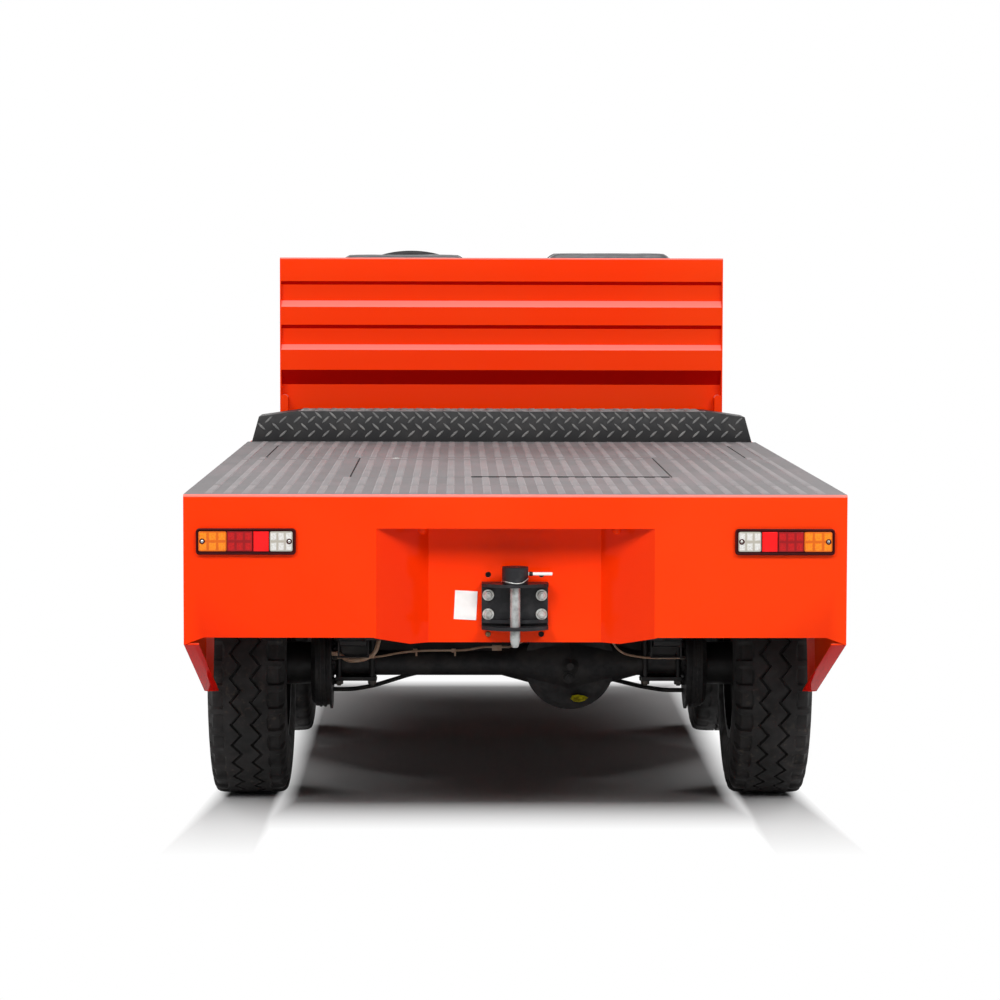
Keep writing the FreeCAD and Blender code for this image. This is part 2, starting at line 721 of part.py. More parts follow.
def make_floor():
    """Cab floor with side sills and two bearers."""
    start = REAR + s.seat_base_start
    low = s.floor_height - s.floor_wall
    plate = box("floor_plate", (-INSIDE, start, low), (INSIDE, COWL - s.panel_wall, s.floor_height))
    sills = pair("sill", (HALF_WIDTH - s.sill_width, REAR + s.seat_base_end, low - s.sill_depth),
                 (HALF_WIDTH, COWL - s.panel_wall, s.floor_height))
    bearers = pair("floor_bearer", (RAIL_INNER, start, low - s.sill_depth),
                   (RAIL_OUTER, COWL - s.panel_wall, low + 1))
    crank = box("crank_bracket", (-15, start + 30, 285), (15, start + 42, low + 1))
    cross = box("floor_cross", (-RAIL_INNER - 1, start + 20, low - 40), (RAIL_INNER + 1, start + 52, low + 1))
    label(fuse("floor_weldment", plate, crank, cross, *sills, *bearers), "cab_floor")


def make_cowl():
    """Front cowl: folded front sheet with two cheeks, narrower above the deck's height."""
    wall = s.panel_wall
    top = s.cowl_top
    low = s.cowl_corner_low
    high = s.cowl_corner_high
    half = s.cowl_top_half
    face = [(COWL, s.cowl_bottom), (COWL, s.cowl_shoulder), (COWL - 50, s.cowl_top)]
    inner = [(COWL - 50 - wall, s.cowl_top - 2), (COWL - wall, s.cowl_shoulder - 1),
             (COWL - wall, s.cowl_bottom)]
    sheet = extrude("cowl_sheet", "side", [face + inner], -HALF_WIDTH, s.truck_width)
    cheek = extrude("cowl_cheek", "side", [[
        (COWL - 95, s.floor_height), (COWL, s.floor_height), (COWL, s.cowl_shoulder),
        (COWL - 50, s.cowl_top), (COWL - 190, s.cowl_top), (COWL - 165, s.cowl_shoulder)]],
        INSIDE, wall)
    corner = extrude("cowl_corner", "front", [[
        (HALF_WIDTH * 2 - half, low * 2 - high), (half, high), (half, top + 10),
        (HALF_WIDTH * 2 - half, top + 10)]], COWL - 220, 240)
    block = cut("cowl_cut", fuse("cowl_block", sheet, cheek, mirrored("cowl_cheek_left", cheek)),
                corner, mirrored("cowl_corner_left", corner))
    shoulder = extrude("cowl_shoulder", "front", [[
        (HALF_WIDTH, low), (half, high), (half, top), (half - wall, top), (half - wall, high - 2),
        (INSIDE, low - wall)]], COWL - 190, 190)
    ahead = extrude("shoulder_front_trim", "side", [[
        (COWL, low - 20), (COWL, s.cowl_shoulder), (COWL - 50, top), (COWL - 50, top + 10),
        (COWL + 20, top + 10), (COWL + 20, low - 20)]], half - 20, HALF_WIDTH - half + 40)
    behind = extrude("shoulder_back_trim", "side", [[
        (COWL - 159, low - 20), (COWL - 165, s.cowl_shoulder), (COWL - 190, top),
        (COWL - 190, top + 10), (COWL - 220, top + 10), (COWL - 220, low - 20)]],
        half - 20, HALF_WIDTH - half + 40)
    cheek_top = cut("cowl_upper_cheek", shoulder, ahead, behind)
    label(fuse("cowl_weldment", block, cheek_top, mirrored("cowl_upper_cheek_left", cheek_top)),
          "front_cowl")


def column_point(distance):
    """Return the point that far down the steering axis from the wheel's centre."""
    return (-s.wheel_offset, COWL - s.wheel_setback + distance * s.column_lean.sine(),
            s.wheel_height - distance * s.column_lean.cosine())


LEAN = math.radians(SIZES["column_lean"])
COLUMN_DOWN = FreeCAD.Vector(0, math.sin(LEAN), -math.cos(LEAN))


def make_dashboard():
    """Moulded dashboard across the cab, with a hole for the column."""
    body = extrude("dash_moulding", "side", [[
        (COWL - 56, s.cowl_top - 14), (COWL - 56, s.cowl_top + 6, 260), (COWL - 150, s.cowl_top + 32),
        (COWL - 188, s.cowl_top + 18), (COWL - 158, s.cowl_top - 130),
        (COWL - 118, s.cowl_top - 130), (COWL - 130, s.cowl_top - 14)]],
        s.panel_wall - s.cowl_top_half, (s.cowl_top_half - s.panel_wall) * 2)
    hole = cylinder("column_hole", s.column_radius + 4, 500, column_point(200), COLUMN_DOWN)
    label(cut("dash_cut", body, hole), "dashboard")


def make_column():
    """Steering column with its gearbox on the back of the cowl."""
    tube = cylinder("column_tube", s.column_radius, s.column_length - 46, column_point(46), COLUMN_DOWN)
    gearbox = box("steering_gearbox", (-s.wheel_offset - 55, COWL - s.panel_wall - 90, 770),
                  (-s.wheel_offset + 55, COWL - s.panel_wall, 890))
    label(fuse("column_fuse", tube, gearbox), "steering_column")


def make_steering_wheel():
    """Steering wheel: rim, hub and three spokes, square to the column."""
    rim = DOC.addObject("Part::Torus", "wheel_rim")
    bind(rim, "Radius1", s.wheel_radius)
    bind(rim, "Radius2", s.wheel_grip)
    hub = cylinder("wheel_hub", 34, 60, (0, 0, -45))
    spokes = []
    for index, angle in enumerate((-90, 30, 150)):
        spoke = DOC.addObject("Part::Box", "wheel_spoke_%d" % index)
        bind(spoke, "Length", s.wheel_radius)
        spoke.Width = 28
        spoke.Height = 8
        turn = FreeCAD.Rotation(Z_AXIS, angle)
        spoke.Placement = FreeCAD.Placement(turn.multVec(FreeCAD.Vector(0, -14, -4)), turn)
        spokes.append(spoke)
    wheel = fuse("steering_wheel_fuse", rim, hub, *spokes)
    wheel.Placement.Rotation = FreeCAD.Rotation(X_AXIS, SIZES["column_lean"])
    place(wheel, *column_point(0))
    label(wheel, "steering_wheel")


def make_seats():
    """Cushions and leaning backrests, as plain closed pads."""
    lean = SIZES["backrest_lean"]
    start = REAR + s.seat_base_start
    for name, offset in (("driver", -s.driver_offset), ("passenger", s.passenger_offset)):
        low = s.seat_base_top
        half = s.cushion_width / 2
        front = start + s.cushion_setback + s.cushion_length
        cushion = box(name + "_pad", (offset - half, start + s.cushion_setback, low + s.fit_gap),
                      (offset + half, front, low + s.cushion_height))
        label(cushion, name + "_cushion")
        foot = low + s.cushion_height + s.fit_gap
        rise = s.backrest_top - foot - s.backrest_thickness * s.backrest_lean.sine()
        back = DOC.addObject("Part::Box", name + "_back_pad")
        bind(back, "Length", s.cushion_width)
        bind(back, "Width", s.backrest_thickness)
        bind(back, "Height", rise / s.backrest_lean.cosine())
        back.Placement.Rotation = FreeCAD.Rotation(X_AXIS, lean)
        place(back, offset - half, start + s.backrest_setback, foot)
        label(back, name + "_backrest")


def make_front_trim():
    """Bumper and the two round headlights."""
    half = HALF_WIDTH - 12
    bumper = extrude("bumper_bar", "plan", [[
        (half, COWL), (half, COWL + 30, 32), (half - 32, FRONT), (-half + 32, FRONT, 32),
        (-half, COWL + 30), (-half, COWL)]], s.bumper_low, s.bumper_high - s.bumper_low)
    label(bumper, "front_bumper")
    radius = s.headlight_radius
    lamp = revolve("headlight_turned", "front", [
        (0, 0), (radius, 0), (radius, s.headlight_depth - 8), (radius - 8, s.headlight_depth),
        (0, s.headlight_depth)], axis="V_Axis")
    lamp.Placement.Rotation = FreeCAD.Rotation(X_AXIS, -90)
    place(lamp, s.headlight_offset, COWL, s.headlight_height)
    other = mirrored("headlight_left_turned", lamp)
    label(group("headlight_pair", lamp, other), "headlights")


def make_tail_lamps():
    """Two long tail lamps on the rear face."""
    lamps = []
    for name, side in SIDES.items():
        middle = s.lamp_offset * side
        wide = s.lamp_width / 2
        tall = s.lamp_size / 2
        bend = 10
        points = []
        for u, v, first, second in ((1, -1, (-bend, 0), (0, bend)), (1, 1, (0, -bend), (-bend, 0)),
                                    (-1, 1, (bend, 0), (0, -bend)), (-1, -1, (0, bend), (bend, 0))):
            corner = (middle + u * wide, s.lamp_height + v * tall)
            points.append((corner[0] + first[0], corner[1] + first[1], bend))
            points.append((corner[0] + second[0], corner[1] + second[1]))
        lamps.append(extrude("tail_lamp_" + name, "front", [points], REAR - s.lamp_depth, s.lamp_depth))
    label(group("tail_lamp_pair", *lamps), "tail_lamps")


def make_controls():
    """Hanging pedals on a cross shaft, and the parking lever between the seats."""
    back = COWL - s.panel_wall
    middle = -s.wheel_offset
    parts = [cylinder("pedal_shaft", 9, 300, (middle - 110, back - 34, 700), X_AXIS)]
    for index, x in enumerate((middle - 106, middle + 174)):
        parts.append(box("pedal_bracket_%d" % index, (x, back - 44, 684), (x + 12, back, 716)))
    for index, x in enumerate((middle - 60, middle + 110)):
        parts.append(box("pedal_arm_%d" % index, (x - 6, back - 42, 520), (x + 6, back - 28, 704)))
        parts.append(box("pedal_pad_%d" % index, (x - 38, back - 60, 500), (x + 38, back - 38, 560)))
    label(fuse("pedal_fuse", *parts), "pedals")
    base = box("lever_base", (2, REAR + 2980, s.seat_base_top), (42, REAR + 3120, s.seat_base_top + 36))
    up = FreeCAD.Vector(0, 0.5, 0.866)
    arm = cylinder("lever_arm", 8, 230, (22, REAR + 3030, s.seat_base_top + 20), up)
    grip = cylinder("lever_grip", 14, 110, (22, REAR + 3030 + 110, s.seat_base_top + 20 + 190.5), up)
    label(fuse("lever_fuse", base, arm, grip), "parking_lever")


# ---------------------------------------------------------------- coupling

def make_coupling():
    """Coupling bracket on the recess wall, and its lifting pin."""
    back = REAR + s.recess_depth
    face = back - s.bracket_wall
    half = s.bracket_width / 2
    plate = box("bracket_plate", (-half, face, s.bracket_low), (half, back, s.bracket_high))
    pin = REAR + s.pin_setback
    parts = [plate]
    for name, side, bend, low, wall in (
            ("jaw_top", s.jaw_side, s.jaw_bend, s.jaw_high - s.jaw_wall, s.jaw_wall),
            ("flange_low", s.flange_side, s.flange_bend, s.flange_low, s.flange_wall_low),
            ("jaw_bottom", s.jaw_side, s.jaw_bend, s.bracket_low, s.jaw_wall)):
        parts.append(extrude(name, "plan", [[
            (half, face + 1), (-half, face + 1), (-half, REAR + side, bend), (half, REAR + side)]],
            low, wall))
    for index, side in enumerate((-1, 1)):
        x = side * s.hole_spacing_across / 2
        for level, z in enumerate((s.bolt_low, s.bolt_high)):
            parts.append(cylinder("bracket_bolt_%d%d" % (index, level), s.bolt_head_radius,
                                  s.bolt_head_height + 1, (x, face - s.bolt_head_height, z), Y_AXIS))
    hole = cylinder("pin_hole", s.pin_radius + s.running_gap, 300, (0, pin, 500))
    label(cut("bracket_cut", fuse("bracket_fuse", *parts), hole), "tow_bracket")
    head = s.jaw_high + s.fit_gap
    shank = cylinder("pin_shank", s.pin_radius, head - s.pin_low + 1, (0, pin, s.pin_low))
    knob = cylinder("pin_head", s.pin_head_radius, s.pin_head_height, (0, pin, head))
    handle = cylinder("pin_handle", s.handle_radius, s.handle_length + 20,
                      (s.pin_head_radius - 20, pin, head + s.pin_head_height / 2), X_AXIS)
    label(fuse("pin_fuse", shank, knob, handle), "tow_pin")


# ---------------------------------------------------------------- running gear

def make_wheel(name, track, axle, hub_start):
    """Tyre and rim of the right-hand wheel, and their mirror images.

    hub_start is the distance from the wheel's middle plane in to the hub's inner face.
    """
    half = s.tyre_width / 2
    tread = s.tread_width / 2
    bead = s.bead_width / 2
    low = s.bead_radius
    top = s.tyre_radius
    bulge = low + (top - low) * 0.46
    tyre = revolve(name + "_tyre_turned", "plan", [
        (-bead + s.fit_gap, low), (bead - s.fit_gap, low), (bead - s.fit_gap, low + s.flange_height + 1),
        (half, bulge), (half - 2, top - 34), (tread, top - 7), (tread - 10, top),
        (-tread + 10, top), (-tread, top - 7), (-half + 2, top - 34), (-half, bulge),
        (-bead + s.fit_gap, low + s.flange_height + 1)], track / 2, axle, AXLE_HEIGHT)
    seat = low - s.fit_gap
    lip = low + s.flange_height
    wall = s.rim_wall
    disc = s.disc_offset
    inner = low - wall - s.fit_gap
    bore = s.spindle_radius + s.running_gap
    rim = revolve(name + "_rim_turned", "plan", [
        (-bead, seat), (bead, seat), (bead, lip), (bead + s.flange_wall, lip),
        (bead + s.flange_wall, inner), (disc + s.disc_wall + 6, inner),
        (disc + s.disc_wall, inner - 12), (disc + s.disc_wall, s.hub_radius + 30),
        (s.hub_end + 6, s.hub_radius + 10), (s.hub_end + 6, s.hub_radius - 12),
        (s.hub_end + 22, s.hub_radius - 22), (s.hub_end + 26, s.hub_radius - 34), (s.hub_end + 26, 0),
        (s.hub_end - 6, 0), (s.hub_end - 6, bore), (-hub_start, bore), (-hub_start, s.hub_radius - 8),
        (disc - 20, s.hub_radius - 4), (disc - 2, s.hub_radius + 8),
        (disc, s.hub_radius + 30), (disc, inner - 12), (disc - 8, inner),
        (-bead - s.flange_wall, inner), (-bead - s.flange_wall, lip), (-bead, lip)],
        track / 2, axle, AXLE_HEIGHT)
    vents = []
    for index in range(8):
        angle = math.radians(45 * index)
        vents.append(cylinder("%s_vent_%d" % (name, index), s.vent_radius, 80,
                              (track / 2 + disc - 30, axle + s.vent_circle * math.cos(angle),
                               AXLE_HEIGHT + s.vent_circle * math.sin(angle)), X_AXIS))
    rim = cut(name + "_rim_vented", rim, *vents)
    for kind, item in (("tyre", tyre), ("rim", rim)):
        label(item, "%s_%s_right" % (kind, name))
        label(mirrored("%s_%s_left_image" % (kind, name), item), "%s_%s_left" % (kind, name))


def make_rear_axle():
    """Rear axle: tube, offset differential bowl, brake drums, spring seats and stub shafts."""
    parts = [cylinder("axle_tube", s.axle_tube_radius, s.drum_start * 2 + 2,
                      (-s.drum_start - 1, REAR_AXLE, AXLE_HEIGHT), X_AXIS)]
    radius = s.diff_radius
    deep = s.diff_depth
    bowl = revolve("diff_bowl", "front", [
        (0, -deep), (10, -deep, -140), (radius - 10, -deep * 0.45), (radius + 5, -deep * 0.4),
        (radius + 5, -deep * 0.25), (radius - 4, -deep * 0.25), (radius - 4, deep * 0.6),
        (radius - 30, deep + 6), (0, deep + 6)], axis="V_Axis")
    bowl.Placement.Rotation = FreeCAD.Rotation(X_AXIS, -90)
    place(bowl, s.diff_offset, REAR_AXLE, AXLE_HEIGHT)
    parts.append(bowl)
    for index, way in enumerate((-1, 1)):
        parts.append(cone("diff_shoulder_%d" % index, 84, s.axle_tube_radius, 185,
                          (s.diff_offset, REAR_AXLE, AXLE_HEIGHT), FreeCAD.Vector(way, 0, 0)))
    width = s.drum_end - s.drum_start
    for name, side in SIDES.items():
        drum = revolve("brake_drum_" + name, "plan", [
            (0, 0), (0, s.plate_radius), (6, s.plate_radius), (6, s.drum_radius - 3),
            (14, s.drum_radius - 3), (16, s.drum_radius), (width - 12, s.drum_radius),
            (width, s.drum_radius - 14), (width, s.hub_radius - 10), (width, 0)],
            s.drum_start * side, REAR_AXLE, AXLE_HEIGHT)
        drum.Placement.Rotation = FreeCAD.Rotation(Z_AXIS, 0 if side > 0 else 180)
        place(drum, s.drum_start * side, REAR_AXLE, AXLE_HEIGHT)
        parts.append(drum)
        reach = s.rear_track / 2 + s.hub_end - 6 - s.fit_gap - s.drum_end + 1
        parts.append(cylinder("stub_shaft_" + name, s.spindle_radius, reach,
                              ((s.drum_end - 1) * side, REAR_AXLE, AXLE_HEIGHT),
                              FreeCAD.Vector(side, 0, 0)))
    block = s.seat_block
    parts.extend(pair("spring_seat", (s.spring_offset - block, REAR_AXLE - block, AXLE_HEIGHT),
                      (s.spring_offset + block, REAR_AXLE + block, REAR_SEAT)))
    label(fuse("rear_axle_fuse", *parts), "rear_axle")


def make_motor():
    """Drive motor on the front of the differential: one plain block of its real size."""
    start = REAR_AXLE + s.diff_depth + 6
    body = cylinder("motor_body", s.motor_radius, s.motor_length, (s.diff_offset, start, AXLE_HEIGHT), Y_AXIS)
    label(body, "drive_motor")


def make_battery():
    """Battery as one plain block on its tray."""
    start = REAR + s.battery_start
    half = s.battery_width / 2
    block = box("battery_block", (-half, start, s.battery_low),
                (half, start + s.battery_length, s.battery_high))
    label(block, "battery")


def leaf_outline(half, inner, axle, centre):
    """Return one curved leaf: a band between two arcs about a centre high above the axle."""
    outer = inner + s.leaf_wall
    near = (inner * inner - half * half).root()
    far = (outer * outer - half * half).root()
    return [(axle - half, centre - near), (axle - half, centre - far, outer),
            (axle + half, centre - far), (axle + half, centre - near, -inner)]


def make_spring(name, x, axle, seat, half_length, curve, bolt_low):
    """One leaf spring with its eyes, clamp plates and U-bolts, on the right-hand side."""
    parts = []
    top = spring_top(seat)
    width = s.spring_width
    for index in range(SIZES["leaf_count"]):
        share = 1 - 0.19 * index
        outline = leaf_outline(half_length * share, curve + s.leaf_wall * index, axle, top + curve)
        parts.append(extrude("%s_leaf_%d" % (name, index), "side", [outline], x - width / 2, width))
    height = eye_height(seat, half_length, curve)
    for end in (-1, 1):
        parts.append(cylinder("%s_eye_%d" % (name, end + 1), s.eye_radius, width,
                              (x - width / 2, axle + end * half_length, height), X_AXIS))
    across = s.bolt_leg_across
    for index, (u, v) in enumerate(((-1, -1), (-1, 1), (1, -1), (1, 1))):
        parts.append(cylinder("%s_leg_%d" % (name, index), s.bolt_leg_radius, top + 14 - bolt_low + 14,
                              (x + across * u, axle + s.bolt_leg_along * v, bolt_low - 14)))
    plate = across + s.bolt_leg_radius + 3
    along = s.bolt_leg_along + s.bolt_leg_radius + 3
    parts.append(box(name + "_top_plate", (x - plate, axle - along, top - 1),
                     (x + plate, axle + along, top + 9)))
    parts.append(box(name + "_low_plate", (x - plate, axle - along, bolt_low - 10),
                     (x + plate, axle + along, bolt_low)))
    return fuse(name + "_fuse", *parts)


def make_springs():
    """Leaf springs, front and rear."""
    rear = make_spring("rear_spring", s.spring_offset, REAR_AXLE, REAR_SEAT, s.spring_half,
                       s.spring_curve, AXLE_HEIGHT - s.axle_tube_radius)
    label(group("rear_spring_pair", rear, mirrored("rear_spring_left", rear)), "rear_springs")
    front = make_spring("front_spring", s.rail_centre, FRONT_AXLE, FRONT_SEAT, s.front_spring_half,
                        s.front_spring_curve, AXLE_HEIGHT - s.beam_axle_height / 2)
    label(group("front_spring_pair", front, mirrored("front_spring_left", front)), "front_springs")


def make_front_axle():
    """Forged front beam with kingpin bosses and kingpins."""
    deep = s.beam_axle_width / 2
    tall = s.beam_axle_height / 2
    end = s.kingpin_offset - 10
    beam = box("front_beam", (-end, FRONT_AXLE - deep, AXLE_HEIGHT - tall),
               (end, FRONT_AXLE + deep, AXLE_HEIGHT + tall))
    parts = [beam]
    half = s.boss_height / 2
    reach = half + s.yoke_wall + 8
    for name, side in SIDES.items():
        x = s.kingpin_offset * side
        parts.append(cylinder("kingpin_boss_" + name, s.boss_radius, s.boss_height,
                              (x, FRONT_AXLE, AXLE_HEIGHT - half)))
        parts.append(cylinder("kingpin_" + name, s.kingpin_radius, reach * 2,
                              (x, FRONT_AXLE, AXLE_HEIGHT - reach)))
    label(fuse("front_axle_fuse", *parts), "front_axle")


def make_knuckles():
    """Steering knuckles: yoke, spindle and steering arm."""
    half = s.boss_height / 2 + 1
    wall = s.yoke_wall
    wide = s.yoke_half_width
    x = s.kingpin_offset
    arm_end = FRONT_AXLE - s.steer_arm
    ring = s.steer_arm_width / 2
    side = s.boss_radius * 0.97
    low = AXLE_HEIGHT - half - wall
    high = AXLE_HEIGHT + half
    parts = [box("yoke_back", (s.yoke_start, FRONT_AXLE - wide, low),
                 (s.yoke_end, FRONT_AXLE + wide, high + wall))]
    for name, z in (("low", low), ("high", high)):
        parts.append(extrude("yoke_arm_" + name, "plan", [[
            (s.yoke_start + 1, FRONT_AXLE - side), (s.yoke_start + 1, FRONT_AXLE + side),
            (x, FRONT_AXLE + side, s.boss_radius), (x, FRONT_AXLE - side)]], z, wall))
    parts.append(box("steer_arm_bar", (x - ring, arm_end, low), (x + ring, FRONT_AXLE - 20, low + wall)))
    parts.append(cylinder("steer_arm_eye", ring, wall, (x, arm_end, low)))
    reach = s.front_track / 2 + s.hub_end - 6 - s.fit_gap - s.yoke_end + 1
    parts.append(cylinder("spindle", s.spindle_radius, reach,
                          (s.yoke_end - 1, FRONT_AXLE, AXLE_HEIGHT), X_AXIS))
    king = cylinder("kingpin_bore", s.kingpin_radius + s.running_gap, 400,
                    (x, FRONT_AXLE, AXLE_HEIGHT - 200))
    solid = fuse("knuckle_fuse", *parts)
    for name, side, play in (("right", 1, 0.6), ("left", -1, SIZES["running_gap"])):
        eye = cylinder("tie_bore_" + name, s.tie_pin_radius + play, 100, (x, arm_end, low - 30))
        body = cut("knuckle_%s_cut" % name, solid, king, eye)
        if side < 0:
            body = mirrored("knuckle_left_image", body)
        label(body, "knuckle_" + name)


def make_tie_rod():
    """Tie rod under the steering arms, with an upright pin at each end."""
    low = AXLE_HEIGHT - s.boss_height / 2 - 1 - s.yoke_wall
    y = FRONT_AXLE - s.steer_arm
    z = low - 16
    x = s.kingpin_offset
    parts = [cylinder("tie_tube", s.tie_radius, x * 2, (-x, y, z), X_AXIS)]
    for name, side in SIDES.items():
        parts.append(cylinder("tie_end_" + name, 17, 30, (x * side, y, z - 15)))
        parts.append(cylinder("tie_pin_" + name, s.tie_pin_radius, s.yoke_wall + 20, (x * side, y, z + 8)))
    label(fuse("tie_rod_fuse", *parts), "tie_rod")


def make_cables():
    """Parking-brake cables to the equaliser, and the pull rod under the floor."""
    z = s.cable_height
    end = REAR + s.equaliser_start
    parts = []
    for name, side, lead, run in (("right", 1, 46, 180), ("left", -1, 64, 240)):
        start = s.drum_start * side
        parts.append(tube_along("brake_cable_" + name, [
            (start, REAR_AXLE + lead, z), ((s.drum_start - 52) * side, REAR_AXLE + lead, z),
            (s.drum_start * side * 0.78, REAR_AXLE + lead + 90, z - 2),
            (start * 0.5, REAR_AXLE + lead + run + 190, z),
            (12 * side, end - 140, z), (12 * side, end, z)], s.cable_radius))
    rod = cylinder("brake_pull_rod", 5, REAR + s.seat_base_start + 30 - end - 10,
                   (0, end + 10, 300), Y_AXIS)
    label(group("brake_cable_set", *parts, rod), "parking_brake_cables")


def make_pipes():
    """Copper brake pipes over the rear axle with a tee, and a hose up to the frame."""
    back = REAR_AXLE - 58
    near = REAR_AXLE - 30
    z = AXLE_HEIGHT
    low = z + 20
    start = s.drum_start
    seat = z + s.axle_tube_radius
    tee = box("brake_tee", (-45, REAR_AXLE - 10, seat), (-19, REAR_AXLE + 10, seat + 14))
    left = tube_along("brake_pipe_left", [
        (-start, back, low), (-start + 115, back, low),
        (-start + 190, back + 14, z + 34), (-start + 250, near, z + 37), (-120, near, z + 37),
        (-72, REAR_AXLE, z + 43), (-45, REAR_AXLE, z + 43)], s.pipe_radius)
    over = z + s.diff_radius + 16
    right = tube_along("brake_pipe_right", [
        (start, back, low), (start - 115, back, low),
        (s.diff_offset + 134, back, z + 34), (s.diff_offset + 104, back, z + 84),
        (s.diff_offset + 50, back, over), (s.diff_offset - 50, back, over),
        (s.diff_offset - 106, back + 10, z + 76), (28, near, z + 56), (2, REAR_AXLE, z + 43),
        (-19, REAR_AXLE, z + 43)], s.pipe_radius)
    hose = tube_along("brake_hose", [
        (-start, back - 34, z + 36), (-start + 18, back - 34, z + 36),
        (-start + 44, back - 54, z + 18), (-start + 84, back - 68, z + 22),
        (-start + 118, back - 70, z + 38), (-start + 130, back - 60, z + 80),
        (-s.rail_centre - 12, back - 36, z + 130), (-s.rail_centre - 12, back - 36, s.rail_low)], 6)
    label(group("brake_pipe_set", tee, left, right, hose), "brake_pipes")


def check_objects():
    """Stop if any object failed or any sub-part's shape isn't sound."""
    failed = [item.Name for item in DOC.Objects
              if "Invalid" in item.State or "Error" in item.State]
    failed += [item.Label for item in NODES
               if item.Shape.isNull() or not item.Shape.isValid() or not item.Shape.Solids]
    if failed:
        raise RuntimeError("no sound shape: %s" % ", ".join(failed))


def main():
    """Build every sub-part, check it and write its file."""
    make_rear_panel()
    make_side_panels()
    make_deck()
    make_lid("hatch_lid", s.hatch_start, s.hatch_length, s.hatch_width)
    make_lid("battery_cover", s.cover_start, s.cover_length, s.cover_width)
    make_kick_plate()
    make_headboard()
    make_frame()
    make_seat_base()
    make_floor()
    make_cowl()
    make_dashboard()
    make_column()
    make_steering_wheel()
    make_seats()
    make_front_trim()
    make_tail_lamps()
    make_controls()
    make_coupling()
    make_wheel("rear", s.rear_track, REAR_AXLE, s.rear_track / 2 - s.drum_end - s.fit_gap)
    make_wheel("front", s.front_track, FRONT_AXLE, s.front_track / 2 - s.yoke_end - s.fit_gap)
    make_rear_axle()
    make_motor()
    make_battery()
    make_springs()
    make_front_axle()
    make_knuckles()
    make_tie_rod()
    make_cables()
    make_pipes()
    DOC.recompute()
    check_objects()
    os.makedirs("parts", exist_ok=True)
    for item in NODES:
        item.Shape.exportStep(os.path.join("parts", item.Label + ".step"))
        print("%s: %d solids, %.0f cm3" % (item.Label, len(item.Shape.Solids), item.Shape.Volume / 1000))


main()
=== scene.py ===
"""Looks of an electric platform truck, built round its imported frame.

Lengths are in metres: +X points right as seen from behind, +Y forward and +Z up.
"""

import logging
import math
from contextlib import contextmanager
from dataclasses import dataclass, replace
from enum import Enum
from typing import Callable, Iterable, Iterator, Optional, Sequence, Union

import bmesh
import bpy
from mathutils import Matrix, Vector


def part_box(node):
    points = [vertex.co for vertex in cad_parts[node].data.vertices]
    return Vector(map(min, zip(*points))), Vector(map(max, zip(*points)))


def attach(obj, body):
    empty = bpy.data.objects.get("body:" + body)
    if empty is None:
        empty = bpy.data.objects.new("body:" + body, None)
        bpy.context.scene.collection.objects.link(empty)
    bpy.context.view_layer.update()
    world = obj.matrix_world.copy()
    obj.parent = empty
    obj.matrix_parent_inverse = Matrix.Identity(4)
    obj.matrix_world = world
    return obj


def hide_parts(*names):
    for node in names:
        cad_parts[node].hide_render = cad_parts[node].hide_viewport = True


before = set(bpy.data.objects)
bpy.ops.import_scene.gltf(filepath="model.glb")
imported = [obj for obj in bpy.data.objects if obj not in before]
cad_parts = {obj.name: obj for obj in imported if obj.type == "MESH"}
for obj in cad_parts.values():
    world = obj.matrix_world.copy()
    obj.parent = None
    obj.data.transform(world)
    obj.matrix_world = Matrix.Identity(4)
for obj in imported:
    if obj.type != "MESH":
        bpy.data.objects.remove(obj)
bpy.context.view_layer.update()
log = logging.getLogger("truck")

Tone = tuple[float, float, float, float]
Pair = tuple[float, float]
Triple = tuple[float, float, float]
Shade = tuple[int, int, int]
Piece = bpy.types.Object
Socket = bpy.types.NodeSocket
Fed = Union[float, Sequence[float], Socket]

SIDES = (-1, 1)
FULL_TURN = math.tau
SHARP = 35.0
CHASSIS = "chassis"


def linear(shade: Shade) -> Tone:
    """Return a display colour, 0 to 255 a channel, as linear values for a shader."""
    red, green, blue = [share / 12.92 if share <= 0.04045 else ((share + 0.055) / 1.055) ** 2.4
        for share in (channel / 255 for channel in shade)]
    return red, green, blue, 1


# ---------------- finishes

